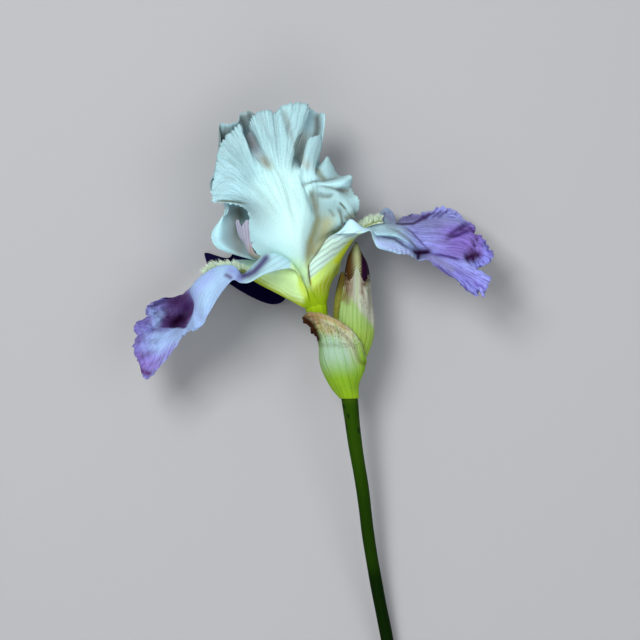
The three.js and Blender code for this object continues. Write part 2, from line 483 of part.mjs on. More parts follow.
function piece(name, geometry, color, roughness) {
  const mesh = new THREE.Mesh(geometry, new THREE.MeshStandardMaterial({ color, roughness, metalness: 0 }));
  geometry.translate(...SHIFT);
  mesh.name = name;
  iris.add(mesh);
}

function petal(name, sections, rows, columns, wave, color) {
  piece(name, sheet(soften(ruffle(loft(sections, rows, columns), wave), 1), petalThickness), color, 0.5);
}

const WHITE = 0xf2fbfa;
const PALE = 0xdfe9ec;
const CREAM = 0xf0ead0;
const YELLOW = 0xe6e6b4;

petal("standard_front", STANDARD_FRONT, 14, 44, ripples(0.5, 13, 0), WHITE);
petal("standard_back_left", STANDARD_BACK_LEFT, 14, 16, ripples(0.8, 9, 1), PALE);
petal("standard_back_right", STANDARD_BACK_RIGHT, 12, 12, ripples(0.8, 7, 1), PALE);
petal("fall_left", FALL_LEFT, 24, 26, ripples(0.5, 9, 0), 0xb9a9e0);
petal("fall_right", FALL_RIGHT, 24, 26, ripples(0.5, 9, 0), 0xa797d8);
petal("fall_back", FALL_BACK, 14, 12, () => 0, 0x4a3f96);
petal("style_arm_left", STYLE_ARM_LEFT, 10, 6, () => 0, 0xd8cfd8);
petal("style_arm_right", STYLE_ARM_RIGHT, 10, 6, () => 0, 0xe2dcc0);
petal("style_arm_back", STYLE_ARM_BACK, 8, 6, () => 0, 0xd8cfd8);

piece("beard_left", beard(FALL_LEFT, 0.308, 0.592, LEFT_UPPER, 6, 26, 11), YELLOW, 0.8);
piece("beard_right", beard(FALL_RIGHT, 0.313, 0.527, RIGHT_UPPER, 6, 26, 23), YELLOW, 0.8);
piece("beard_back", beard(FALL_BACK, 0.51, 0.69, BACK_UPPER, 4, 20, 31), YELLOW, 0.8);

piece("stamen_left", rod(STAMEN_LEFT, 12, 7), CREAM, 0.6);
piece("stamen_right", rod(STAMEN_RIGHT, 12, 7), CREAM, 0.6);
piece("stamen_back", rod(STAMEN_BACK, 12, 7), CREAM, 0.6);

piece("outer_bract", sheet(loft(OUTER_BRACT, 12, 16), () => BRACT_THICKNESS), 0xa9c98a, 0.6);
piece("bud_bract_front", sheet(loft(BUD_BRACT_FRONT, 12, 12), () => BRACT_THICKNESS), 0xb3cd97, 0.6);
piece("bud_bract_back", sheet(loft(BUD_BRACT_BACK, 12, 10), () => BRACT_THICKNESS), 0x9a8a60, 0.6);

piece("stem", rod(STEM, 14, 14), 0x4e7a1e, 0.5);
piece("perianth_tube", rod(TUBE, 13, 16), 0xa6c024, 0.5);
piece("bud", rod(BUD, 18, 16, (a, u) => 1 + 0.05 * Math.cos(3 * a + 5 * u)), 0xb9a88a, 0.5);

export default iris;
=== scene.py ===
"""A cut stem of bearded iris that lies on a pale surface, seen from straight above.

Every petal is a smooth sheet through listed sections, with the folds, creases and frilled margin of the
real one. Lengths in the tables are millimetres in the flower's own frame, which SHIFT moves to the part's.
"""
import math

import bpy
import numpy as np
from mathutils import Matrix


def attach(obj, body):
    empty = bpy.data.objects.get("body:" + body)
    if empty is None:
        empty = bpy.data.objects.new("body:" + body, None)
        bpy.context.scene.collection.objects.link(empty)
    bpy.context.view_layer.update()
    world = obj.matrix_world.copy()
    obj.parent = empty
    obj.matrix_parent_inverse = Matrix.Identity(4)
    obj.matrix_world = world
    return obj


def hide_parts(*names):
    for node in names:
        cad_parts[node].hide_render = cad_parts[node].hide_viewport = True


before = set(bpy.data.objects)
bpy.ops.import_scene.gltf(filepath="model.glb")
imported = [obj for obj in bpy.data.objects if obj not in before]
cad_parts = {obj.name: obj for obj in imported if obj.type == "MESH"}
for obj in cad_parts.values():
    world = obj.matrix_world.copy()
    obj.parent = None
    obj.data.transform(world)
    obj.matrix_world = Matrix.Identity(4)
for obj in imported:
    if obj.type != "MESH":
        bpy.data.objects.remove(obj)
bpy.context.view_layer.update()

MM = 0.001  # metres in a millimetre
SHIFT = np.array([3.35, 39.6, 0.0])  # from the flower's frame to the part's, in mm

# Flower: lengths in mm, shares, and one number of hairs
RING_RADIUS = 4.8  # radius of the ring of petal bases at the mouth of the tube
STYLE_RADIUS = 1.5  # radius of the ring of style arm bases inside it
RING_CENTRE = np.array([-2.0, 7.5, 37.0])  # middle of the mouth of the tube
LEAN = 0.2  # lean of the flower to the left: sine of its angle from +Y
FALL_FOOT = -1.6  # height of the base of a fall above the mouth of the tube: below it, inside the tube's wall
STANDARD_FOOT = -1.4  # the same for the standards and style arms
PETAL_MIDDLE = 0.5  # thickness of a petal over most of its blade
PETAL_MARGIN = 0.26  # thickness at its margin
CLAW_THICKNESS = 1.1  # thickness where it grows from the tube
BASE_SLIMMING = 0.8  # how much thinner a petal is at its very base, inside the tube's wall
FOLD_DEPTH = 1.5  # how far below the sheet round it a hollow lies that has its full shade
RIDGE_LIGHT = 0.25  # share of that shade by which a ridge is lighter at most
FOLD_TINT = np.array([0.75, 1, 1.05])  # share of the shade that red, green and blue take
PETAL_SHADE = 0.45  # share by which a petal's deep folds are darker
BRACT_SHADE = 0.3  # the same for a bract
BEARD_LIFT = 1.4  # height of a beard's ridge over the middle surface of its fall
HAIRS_A_TUFT = 11  # mean number of hairs in a tuft
HAIR_RADIUS = 0.17  # radius of a hair at its root

# Grids, waves and rods
COLUMN, ROW = 1, 0  # axes of a grid of points: across it and along it
TURN = 6.2832  # a full turn in radians
HALF_TURN = 3.1416  # half a turn
PHASES = 6.28  # range of the phases of irregular waves, in radians
INNER_PULL = 8  # softening moves a point one part in 8 of the way to each neighbour
END_PULL = 24  # and one part in 24 along the end margin
TURNED = [0, 3, 2, 1]  # the corners of a cell in the other direction
ROUND_ENDS = (0.9, 0.7, 0.45, 0.2)  # rings that close a rod, as shares of its radius at that end

# Studio
FLOOR = 4.0  # half the side of the floor, in m
LIT_POINT = (0, 0.05, 0.03)  # where the lights aim, in m
SKY = 0.25  # strength of the even light from all round
LENS = 200.0  # focal length, in mm
SENSOR = 36.0  # width of the sensor, in mm
PIXELS = 640  # width of the view in pixels
PIXEL = 0.46  # width of a pixel at the middle height of the flower, in mm
MIDDLE_HEIGHT = 40.0  # that height, in mm

# Lights: name, place and size in m, power in W, colour
LIGHTS = [
    ("key", (-0.42, 0.45, 1.3), 0.5, 14.5, (1.0, 0.99, 0.97)),
    ("fill", (0.6, 0.1, 1.2), 0.8, 4.5, (0.96, 0.98, 1.0)),
    ("front", (-0.1, -0.6, 1.1), 0.8, 3.0, (1.0, 1.0, 1.0)),
]


def section(mid, *points):
    """A section of a sheet: its points in order, and which of them lies on the midrib."""
    return mid, np.array(points, float)


def mouth(angles, radius, height):
    """Points over the mouth of the tube at angles in degrees: 0 is +X and 90 is +Z."""
    a = np.radians(np.asarray(angles, float))
    up = np.array([-LEAN, math.sqrt(1 - LEAN * LEAN), 0])
    out = np.stack([np.cos(a) * up[1], np.cos(a) * LEAN, np.sin(a)], -1)
    return RING_CENTRE + radius * out + height * up


def root(start, end, radius, height):
    """The section where a petal grows from the mouth of the tube, between two angles."""
    return section(1, *mouth([start, (start + end) / 2, end], radius, height))


def wrap(mid, centre, radius, *angles):
    """The section of a bract wrapped on a circle round a stalk: x and z run round, y stays."""
    a = np.radians(angles)
    return section(mid, *(np.array(centre) + radius * np.stack([np.cos(a), 0 * a, np.sin(a)], -1)))


# Front standard, left margin first
STANDARD_FRONT = [
    root(113, 68, RING_RADIUS, STANDARD_FOOT),
    section(1, [-8.8, 16.4, 44.7], [-6.5, 16.8, 45.3], [-4.2, 16.4, 44.6]),
    section(2, [-12.7, 22.9, 47.3], [-10.8, 24, 48.4], [-8.5, 24.7, 49], [-6.7, 24.9, 48.8],
            [-4.5, 24.9, 47.8]),
    section(3, [-30.3, 32, 46], [-24, 34.5, 52], [-16, 36.5, 57.5], [-9.6, 37.5, 59.3], [-5.4, 37.8, 55],
            [-1, 37.5, 49.5], [5, 38.5, 46]),
    section(3, [-33, 49.5, 47], [-27, 50, 54.5], [-20, 51, 60], [-13, 51.5, 62.5], [-6, 51.5, 60],
            [-1, 50, 53], [5, 47.5, 50], [12, 45, 50]),
    section(4, [-42, 53, 51], [-39, 60, 57], [-34, 68, 59], [-26, 72, 60], [-19.5, 69, 62],
            [-14.5, 68, 61.7],
            [-10, 66.5, 61], [-5.5, 64.7, 60], [0, 62.8, 58.5], [7, 58.6, 56], [15, 47, 53]),
    section(11, [-48.5, 53.5, 53], [-49.5, 57, 54], [-49, 62, 53], [-47.5, 68, 51], [-46.8, 75, 50],
            [-45, 81, 49.5], [-40, 86.3, 51], [-36, 89.3, 53], [-33.5, 86, 45], [-31.5, 91, 49],
            [-28.8, 94.8, 51], [-24, 95.7, 52], [-20.5, 94.3, 50], [-17.6, 98, 51], [-11, 99.6, 49.5],
            [-5, 98.3, 46.5], [-6, 90.5, 44], [-11, 84, 44.5], [-13.2, 78.5, 45], [-10.5, 72.8, 48.5],
            [-5.6, 69.4, 53], [-6.6, 77, 50], [-5, 82.5, 50.5], [-2, 84, 49], [0.9, 84.4, 46],
            [-0.1, 77, 49], [-1.6, 69.8, 52], [0.7, 72, 50.5], [3.4, 74.8, 50], [5.3, 71, 48.5],
            [8.8, 65.3, 47], [13.9, 65.8, 50], [14.3, 64.4, 50], [14, 60.5, 47], [17, 56, 51],
            [18, 51.5, 50], [17, 47, 49]),
]

# Left fall, far margin first
FALL_LEFT = [
    root(182, 118, RING_RADIUS, FALL_FOOT),
    section(2, [-12.6, 14.5, 33.5], [-13, 11, 36], [-12.6, 8.9, 40], [-11.4, 10.6, 43.6],
            [-10.3, 12.2, 45.5],
            [-9.4, 13.8, 46.6], [-8.6, 15.1, 47.3], [-8.1, 16.3, 47.9], [-7.8, 17.5, 48.5]),
    section(2, [-20, 22, 30], [-20.5, 15.5, 34], [-20, 12.6, 41.5], [-18, 15.5, 46.5], [-15.2, 19, 49.2],
            [-12.9, 22.8, 50.6], [-13.4, 26.5, 52], [-13.4, 26.2, 54.5], [-12.6, 23.4, 56]),
    section(2, [-28, 27, 25], [-28.5, 19.5, 31], [-27.5, 16.4, 42.5], [-26, 18, 48], [-23, 21, 52],
            [-20.5, 26, 53.4], [-23, 30.6, 55], [-24.5, 27.2, 58.6], [-24, 21.2, 60.3]),
    section(2, [-37, 28, 19], [-37, 23, 29], [-35, 20.8, 42], [-34, 19, 47.5], [-32, 20.5, 52],
            [-29.5, 24, 55], [-29.5, 26, 57.5], [-31.5, 22, 60.3], [-31.5, 17.2, 61.5]),
    section(2, [-42, 27, 16], [-42, 24, 28], [-40, 22, 42], [-38, 19.5, 48], [-36.5, 19.7, 53],
            [-35.3, 20.2, 56], [-35, 20.6, 58.5], [-35, 18.5, 60.5], [-35.2, 16.8, 61.5]),
    section(2, [-48, 24, 14], [-48, 23, 27], [-45.5, 22.2, 40.5], [-43, 20.3, 47.5], [-41, 22, 52],
            [-39.3, 24.6, 55.5], [-38.9, 22.5, 59], [-39.2, 20, 61], [-39.4, 18, 61.8]),
    section(2, [-55, 20, 11], [-54, 20, 24], [-51.5, 20.4, 38], [-50, 20.5, 46], [-48.5, 23, 52],
            [-47.5, 24, 56], [-45.5, 21, 60.5], [-44, 17.5, 62.5], [-43, 14.6, 63]),
    section(2, [-62, 14, 8], [-62, 12, 20], [-61.5, 10, 30], [-60, 12, 40], [-59, 14.5, 50],
            [-57.5, 15.5, 56],
            [-54, 12.5, 61.5], [-51, 9, 63.5], [-47.2, 8.5, 63.5]),
    section(2, [-64, 12, 9], [-66, 8, 19], [-67.5, 2, 26], [-63.5, 0, 28], [-58.5, 3, 38], [-57.2, 5.5, 49],
            [-57, 4.2, 57.5], [-54, 1.8, 61.5], [-51.1, 1.3, 63]),
    section(2, [-66, 11.5, 11], [-69, 8, 20], [-72, 0, 29], [-69, -4, 38], [-64.5, -4, 41], [-60.8, -1, 48],
            [-58.5, 0.5, 56.5], [-55.5, -1, 61.5], [-52.4, -0.8, 63]),
    section(2, [-69.5, 10.5, 16], [-74.5, 6, 26], [-78, -6, 35], [-76, -12, 42], [-71, -11, 46.5],
            [-65.5, -8, 49], [-61.3, -4.3, 54], [-57, -3.3, 61], [-53.6, -2.6, 62.8]),
    section(8, [-72, 10.5, 20], [-75, 9.5, 25], [-78, 7.5, 30], [-81, 4.5, 31], [-80, 0.5, 30],
            [-84, -0.5, 34], [-86, -4, 36], [-85, -8, 35], [-86.5, -12.5, 39], [-85, -17, 38],
            [-83, -20.3, 41], [-80, -27.3, 47], [-75, -23, 50], [-70, -17.5, 51.5], [-65.5, -11.5, 52],
            [-62, -7, 54.5], [-59.8, -5.3, 58], [-57, -4.7, 61], [-54.8, -3.9, 62.5]),
]

# Right fall, far margin first
FALL_RIGHT = [
    root(-2, 64, RING_RADIUS, FALL_FOOT),
    section(2, [2.8, 17.5, 35.5], [4, 16, 37], [4.1, 15.2, 39.5], [2.8, 15, 43], [0.5, 15.5, 45.8],
            [-2.2, 16, 46.9], [-4.5, 16.2, 46.8]),
    section(2, [8.1, 21.5, 33.5], [6.4, 20.6, 36], [6.3, 20.2, 39.5], [4.8, 19.8, 43.5], [1.8, 20.2, 47],
            [-1.5, 20.7, 48.6], [-4.7, 20.6, 48.3]),
    section(2, [9.4, 25.6, 32.5], [8.4, 25, 35.5], [8, 25, 39.5], [6.5, 24.5, 44], [3, 25, 48],
            [-0.8, 25.5, 50], [-4.9, 25, 49.4]),
    section(2, [12, 34.5, 29], [12.3, 33, 33.5], [12.1, 32.2, 39.5], [10.5, 32, 45], [7, 32.5, 49.3],
            [3, 32.5, 50.8], [-0.3, 31.4, 49.6]),
    section(2, [18.5, 41, 26], [17.3, 39, 32], [15.8, 37.8, 40], [14.5, 37.3, 46], [12, 38, 50.8],
            [8.5, 38.8, 52.2], [4.6, 38.4, 51.5]),
    section(2, [22.5, 44.5, 24], [20.3, 42, 31], [18.3, 39.4, 41], [17.5, 39.2, 46.5], [16, 40, 50.5],
            [13.5, 44, 53], [13.5, 46, 54.5], [13, 43, 57], [12.5, 39.4, 58]),
    section(2, [24.5, 46, 22], [22.5, 43.3, 30.5], [21, 41, 41], [20, 41, 47], [19.2, 41.5, 51],
            [18.8, 42, 53.5], [19, 42.2, 55], [19, 41, 56.5], [19, 39.4, 57.5]),
    section(2, [26.5, 47, 19], [25.3, 44.5, 29], [24.5, 42.8, 40], [24, 42.2, 47], [23.5, 41.5, 52],
            [23.3, 40.8, 54.5], [23.2, 40.2, 56]),
    section(3, [30, 52.3, 12], [29.8, 48, 20], [29.5, 45, 30], [29, 43.6, 40], [28, 42.5, 47],
            [27, 40.5, 52],
            [26.2, 38.8, 54.5], [26.5, 37.8, 53], [25.5, 36.5, 58.5], [25.3, 34.5, 61], [25.5, 33.3, 61.5]),
    section(3, [33.9, 50.4, 12], [34, 47, 21], [34, 44.4, 31.5], [34.5, 42.5, 41], [34.2, 41, 47],
            [34, 38.7, 51],
            [33.7, 37.2, 49], [33, 35, 56], [33, 32, 58.5], [33, 31, 58]),
    section(3, [35.7, 45, 13], [36.3, 44.8, 20], [36.8, 44.3, 31], [37.5, 42, 41], [37.5, 40, 46.8],
            [37.5, 37.4, 50], [37.3, 35.6, 48.5], [37, 33.4, 54.5], [37.2, 31, 57.5], [37.4, 30.6, 57.5]),
    section(3, [38, 47.7, 7], [39, 46, 15], [40, 44.5, 29], [40.7, 40.5, 41], [40.8, 38, 46.5],
            [41, 35.5, 48.5], [40.8, 33.2, 47], [41, 31.5, 52], [41.5, 30.1, 56]),
    section(3, [42.5, 49.3, -1.5], [43.5, 47.3, 8.5], [45, 44.6, 26], [45.5, 38.5, 41], [45.8, 34.8, 45],
            [46, 31.8, 42.5], [46.4, 29.9, 39.5], [45.7, 28.2, 45], [45.2, 26.5, 51]),
    section(3, [47, 49.3, 4], [48.5, 47.8, 12], [50, 44.5, 27], [50.8, 38.3, 41], [51.3, 34, 45.5],
            [51.7, 31.4, 47], [50.9, 30, 47.2], [49.9, 28.8, 50], [49.3, 27.4, 53]),
    section(3, [50, 50.5, 6], [53, 49, 15], [55, 44, 28], [56, 38, 40], [57, 33.5, 46], [57, 29.6, 50],
            [55.5, 27, 52], [55, 25, 52], [54.5, 23.3, 52]),
    section(3, [57, 52, 12], [61, 48, 22], [64, 43, 32], [66, 37, 40], [67.5, 32.5, 40], [66, 27.5, 48],
            [65, 23, 51], [64.5, 19, 52], [63.5, 16.8, 52]),
    section(10, [60, 52, 12], [63, 51, 16], [65.8, 48.7, 20], [67.8, 45.8, 22], [70.3, 45.2, 22],
            [71.8, 42.5, 24], [71.6, 39.5, 28], [75, 38, 32], [77.5, 34, 34], [79.5, 31, 38], [79.3, 28, 40],
            [75, 25, 42], [71.8, 23.4, 42.5], [71.8, 21.4, 45], [75, 20, 48], [78, 19.5, 50], [78, 18, 51],
            [76.3, 15, 51], [75, 11.3, 52], [72.5, 13, 50], [71.5, 10.2, 52], [67.5, 13.2, 52]),
]

# Back fall, which lies on the surface; the margin towards the stem first
FALL_BACK = [
    root(243, 297, RING_RADIUS, FALL_FOOT + 0.3),
    section(1, [-9, 11.5, 27], [-4.5, 9.8, 25.5], [0.5, 12, 27]),
    section(1, [-14, 13.5, 17.5], [-9, 12.3, 15.5], [-3.5, 15, 16.5]),
    section(1, [-17.5, 8.5, 7.5], [-16, 17, 5], [-9, 25, 6]),
    section(2, [-24, 7.5, 4], [-25, 14, 1.5], [-26, 21, 0.4], [-22, 32, 0.6], [-17, 42, 3]),
    section(2, [-35, 12.3, 3.5], [-36, 18, 1], [-36, 25, 0.3], [-32, 36, 0.5], [-27, 46, 3]),
    section(2, [-46, 19.5, 4], [-44.5, 23, 1.5], [-44, 26, 0.3], [-39, 31, 0.6], [-33, 41, 3]),
    section(3, [-49, 22, 5], [-52, 24, 5], [-53.5, 28, 4.5], [-54, 31.7, 4], [-48, 30, 3], [-42.5, 29, 3],
            [-39, 36, 3], [-36, 42, 3.5]),
]

# Back left standard, near margin first
STANDARD_BACK_LEFT = [
    root(192, 228, RING_RADIUS, STANDARD_FOOT),
    section(1, [-10, 17, 34.8], [-9, 17.5, 32], [-6.3, 18, 29.6]),
    section(2, [-23, 25.5, 36], [-22.5, 26, 32], [-21, 27, 28], [-13.5, 28.5, 21], [-6, 28.5, 17.5]),
    section(4, [-46.5, 32.3, 41], [-43.8, 33.6, 41], [-40, 35, 34.5], [-33, 38, 25], [-20, 40, 12],
            [-8, 41, 8], [0, 40, 11]),
    section(4, [-49.8, 40.5, 41], [-46, 42, 43], [-41, 44.5, 35], [-35, 48, 25], [-24, 50, 11],
            [-10, 50, 5], [0, 48, 9]),
    section(4, [-41, 51.5, 41], [-43.3, 53.2, 40], [-42, 56.5, 31], [-37, 60, 21], [-26, 62, 9],
            [-13, 61, 5], [-2, 58, 10]),
    section(4, [-51, 61, 38], [-48.5, 64, 35], [-46, 68, 28], [-40, 73, 19], [-28, 74, 12], [-17, 73, 10],
            [-8, 69, 14]),
    section(5, [-46.5, 70, 40], [-45.5, 80, 41], [-46.3, 89.5, 42], [-42, 90.3, 41.5], [-38, 91, 42],
            [-36, 95, 42], [-33, 96.3, 41], [-28, 94, 36], [-22, 92, 32], [-17, 90, 28], [-13, 84, 24]),
]

# Back right standard, far margin first
STANDARD_BACK_RIGHT = [
    root(312, 348, RING_RADIUS, STANDARD_FOOT),
    section(1, [-1.2, 18, 29.8], [0.8, 18, 31], [2, 18.3, 33]),
    section(1, [-2, 29, 19.5], [3.5, 30, 20.5], [7.5, 31, 24]),
    section(1, [3, 43, 6.5], [8, 44, 8], [12, 45, 12], [14, 46, 19]),
    section(1, [1, 57, 14], [6, 57, 15], [11, 57, 15], [14, 56, 18]),
    section(1, [-10, 70, 38.5], [-5, 70, 39.5], [0, 69, 38], [4, 66, 33]),
    section(4, [-17, 84, 41], [-14, 92, 40.5], [-9, 96, 41], [-4.5, 97, 40.5], [-0.5, 95, 40],
            [2.2, 95, 41.5],
            [2, 88, 42], [0.6, 80, 42], [-2.2, 71.5, 41], [0, 66, 36], [5, 62, 31]),
]

# Style arms, each a strap over a fall that ends in an upturned crest of two lobes
STYLE_ARM_LEFT = [
    root(184, 126, STYLE_RADIUS, STANDARD_FOOT),
    section(1, [-6.9, 17.5, 36.7], [-7.3, 17, 38.9], [-6.3, 17.5, 41]),
    section(1, [-17, 24, 36.5], [-17.5, 23, 40.5], [-16, 24.5, 44]),
    section(1, [-26, 28, 35.5], [-27, 27, 40.5], [-25, 28.3, 45]),
    section(1, [-31, 31, 34.5], [-32.5, 30.5, 40], [-30.3, 31, 44.5]),
    section(1, [-37, 38, 34.5], [-35, 38, 38.5], [-31.5, 38, 42]),
    section(2, [-39.3, 45.6, 34.5], [-37.7, 46.2, 37], [-36, 43, 38.5], [-34, 46, 40.5], [-31, 45, 43]),
]
STYLE_ARM_RIGHT = [
    root(-4, 54, STYLE_RADIUS, STANDARD_FOOT),
    section(1, [0.9, 19.3, 35.8], [0.3, 19.6, 38.5], [-0.9, 19.3, 41]),
    section(1, [5, 30, 34.5], [3.5, 31, 38], [1.5, 30.5, 41]),
    section(1, [10.5, 38.5, 33], [8, 40.5, 37], [5.5, 40, 41]),
    section(1, [11.5, 43, 33], [9, 45, 37.5], [6.5, 44, 41]),
    section(1, [9, 50, 33], [6, 51, 37], [3.5, 50, 40.5]),
    section(2, [8, 57, 34], [6.5, 58.5, 36], [4.5, 55, 38], [2.5, 58, 40], [1, 56.5, 41.5]),
]
STYLE_ARM_BACK = [
    root(241, 299, STYLE_RADIUS, STANDARD_FOOT),
    section(1, [-6, 18, 34.5], [-3.8, 18, 33.3], [-1.8, 18.5, 34.5]),
    section(1, [-10.5, 29, 31], [-6.5, 29, 29], [-2, 30, 31]),
    section(1, [-14, 40, 29], [-8.5, 41, 26.5], [-2, 41, 29]),
    section(2, [-14, 50, 31], [-11.5, 51, 30], [-8.5, 47, 28], [-5, 51, 30], [-2.5, 50.5, 31.5]),
]

# Spathe bract of the open flower, right margin first
OUTER_BRACT = [
    wrap(3, [13.6, -36.2, 29.9], 4.25, -30, 20, 80, 130, 175, 220),
    section(3, [17, -30.5, 28], [17.5, -30, 33], [13, -29, 38], [7.5, -29.3, 37.2], [4.7, -30.3, 32.5],
            [6.5, -30.5, 27.5]),
    section(3, [19.8, -25, 30], [19.2, -22.5, 37], [11, -20, 42], [3.5, -19.5, 40.3], [0.3, -20.5, 34.5],
            [2, -22, 28]),
    section(4, [21.3, -20, 34.5], [19.2, -15.5, 40], [13, -11.5, 43], [6, -9.5, 44], [0.3, -8, 41.5],
            [-0.5, -10, 36], [0, -12, 30]),
    section(6, [20.9, -16.3, 37.6], [19, -10.2, 42], [15, -5, 43.7], [10, -1, 44.8], [5, 1.5, 45],
            [0, 3.2, 44.5], [-5, 3.6, 43], [-8, 1, 41], [-5, -2.8, 38], [-3, -5.5, 36.5],
            [-1.3, -7.5, 34], [-0.5, -9.5, 30]),
]

# Front bract of the bud, left margin first
BUD_BRACT_FRONT = [
    wrap(1, [14.9, -34, 30.2], 1.7, 105, 30, -50),
    section(1, [13, -25, 33.8], [15.1, -25, 34.2], [17, -25, 31.5], [16.5, -25, 28.8]),
    section(1, [11.9, -20, 35.6], [15, -20, 36.6], [19.2, -20, 32.3], [17.9, -20, 28]),
    section(2, [11, -15, 37.3], [14, -15, 38.8], [18, -15, 38], [22.3, -15, 33], [19, -15, 27]),
    section(2, [8.6, -4, 39], [13, -4.5, 41.6], [19, -5, 41], [24.9, -5, 34], [20.5, -5, 26.5]),
    section(2, [9.8, 8.5, 40], [13.5, 8.5, 42.3], [19, 8, 42], [23.7, 8, 34.5], [20.5, 8, 28]),
    section(4, [11.8, 21.5, 38.8], [13.2, 18, 40.4], [15.2, 20, 40.8], [17, 25, 40], [18.8, 20, 40.4],
            [20.8, 17.6, 39], [22.8, 20.7, 36], [22.5, 17, 32], [20, 13.5, 29.3]),
]

# Back bract of the bud, front margin first
BUD_BRACT_BACK = [
    wrap(1, [14.9, -34, 30.2], 1.7, 130, 200, 280),
    section(1, [12.9, -25, 33], [12.2, -25, 30.5], [14, -25, 27.9], [15.7, -25, 27.4]),
    section(1, [12.4, -15, 35.8], [10.2, -15, 32.5], [12.5, -15, 27], [17, -15, 25.4]),
    section(1, [9.6, -4, 37.6], [6.7, -4, 33.8], [9.5, -4, 27], [17, -4, 24.8]),
    section(1, [10.3, 8, 37.8], [6.9, 8.5, 34.5], [9.3, 8, 28], [17, 8, 26.3]),
    section(1, [11.6, 20, 37.5], [10, 22.3, 35.5], [9.8, 18, 32], [12, 13, 29], [16, 10, 28.3]),
]

# Rods: stations of x, y, z and radius
STEM = [[36.6, -178, 2.78, 2.9], [31.5, -150, 8.6, 2.9], [26.8, -126, 13, 2.9], [22.7, -102, 17.5, 2.9],
        [19.8, -79, 21.8, 3], [16.2, -57, 26, 3.25], [13.5, -35, 30, 3.85]]
TUBE = [[11.1, -34.2, 30.4, 1.3], [9, -26, 32, 2.1], [6.8, -19.5, 33.2, 3.4], [4.7, -13, 34.2, 3.7],
        [3, -7, 35, 2.9], [0.8, -1.5, 36.2, 3.3], [-1.2, 4, 36.9, 4.8], [-2, 7.5, 37, 5.2]]
TUBE_SHOULDER = [[-2.3, 9.2, 37, 4.9], [-2.6, 10.6, 37.1, 4.1], [-2.9, 12, 37.3, 2.8]]
BUD = [[14.9, -34.2, 30.3, 0.8], [15, -25, 31, 1.2], [15.6, -15, 32, 3.4], [15.8, 0, 33.5, 6],
       [16.4, 10, 34.4, 6], [17.1, 20, 34.6, 5.8], [17.1, 25, 34.9, 5.1], [16.6, 29, 35.1, 3.8],
       [16.6, 33, 35.2, 1.9], [16.7, 36, 35.3, 0.5]]
STAMEN_LEFT = [[-4.7, 7.6, 38.2, 0.5], [-8.2, 12.6, 39.5, 0.5], [-13.5, 16.8, 40.5, 0.5],
               [-18, 19.4, 41, 0.6], [-20, 20.4, 41.2, 1.1], [-24, 22.2, 41.5, 1.1], [-27.5, 23.8, 41.8, 0.5]]
STAMEN_RIGHT = [[0.5, 8.7, 38.2, 0.5], [1.2, 13.5, 38.4, 0.5], [2.6, 19, 38.6, 0.5], [4.5, 24.5, 38.5, 0.6],
                [5.6, 27, 38.4, 1.1], [7.8, 31.5, 38.2, 1.1], [10, 35.3, 38, 0.5]]
STAMEN_BACK = [[-2, 8.2, 34.1, 0.5], [-2.8, 11.3, 32, 0.5], [-4.4, 14.3, 29, 0.5], [-6, 16.8, 26.2, 0.6],
               [-6.6, 18, 24.9, 1.1], [-8, 20.5, 21.8, 1.1], [-9.2, 22.3, 19.4, 0.5]]

# Folds of petals: path, width and depth
STANDARD_FRONT_FOLDS = [
    ([(-9, 60), (-6.5, 61.6), (-3.5, 62.7), (0, 63.3), (3.5, 63.4), (9.5, 65.4)], 1.0, 1.5),
    ([(-3.5, 60.6), (1.8, 60.7), (5.5, 60), (9.2, 59.3), (12.4, 58.9), (14.5, 60.6)], 0.9, 1.6),
    ([(-2, 57.1), (1.8, 56.1), (4.1, 56.1), (8, 57.4)], 1.0, 1.1),
    ([(9.2, 53.4), (10.6, 51.6), (12.1, 50)], 0.5, 0.9),
    ([(-1.6, 68.3), (-1, 66.8), (0.2, 65.2), (1.8, 63.6)], 1.2, 1.3),
    ([(-4.5, 58.5), (-3.8, 55), (-2.8, 51.5), (-2, 47)], 1.6, 1.3),
    ([(7.5, 51.8), (9.2, 48.8), (10.1, 45.1), (10.4, 42)], 0.9, 1.3),
    ([(3.7, 51), (5.5, 48.6), (7, 46.5)], 0.8, 0.7),
    ([(-47.8, 53.8), (-40.5, 53.6), (-33.1, 52.4)], 0.8, 1.0),
    ([(-43.2, 74), (-37.7, 69)], 1.2, 0.7),
    ([(-46, 66), (-38, 63)], 1.2, 0.5),
    ([(-35.4, 88.3), (-33.1, 82.8), (-30.4, 75.9), (-25.8, 71.3), (-22.5, 69)], 2.8, 2.2),
    ([(-18.9, 99), (-16.6, 94.4), (-14.7, 89.7), (-12.9, 81)], 1.3, 1.6),
    ([(-29, 97), (-27, 92), (-24, 86), (-20, 78)], 1.5, 0.7),
    ([(-22.5, 74), (-20, 69), (-17.5, 64), (-15.5, 58), (-13.8, 51), (-12, 45), (-10, 35)], 0.8, 0.45),
]
FALL_LEFT_FOLDS = [
    ([(-74, 8), (-71, 4), (-69, 0)], 0.9, 0.7),
    ([(-77.5, 7), (-74, 2), (-71, -1)], 1.1, 0.8),
    ([(-81.5, 0.5), (-77, -3), (-72, -5)], 1.3, 1.1),
    ([(-86, -9.5), (-80, -9), (-74, -8)], 1.3, 0.9),
    ([(-85, -18), (-79, -15), (-73, -13)], 1.2, 0.9),
    ([(-81.5, -22), (-76, -19), (-70, -15)], 0.9, 0.7),
]
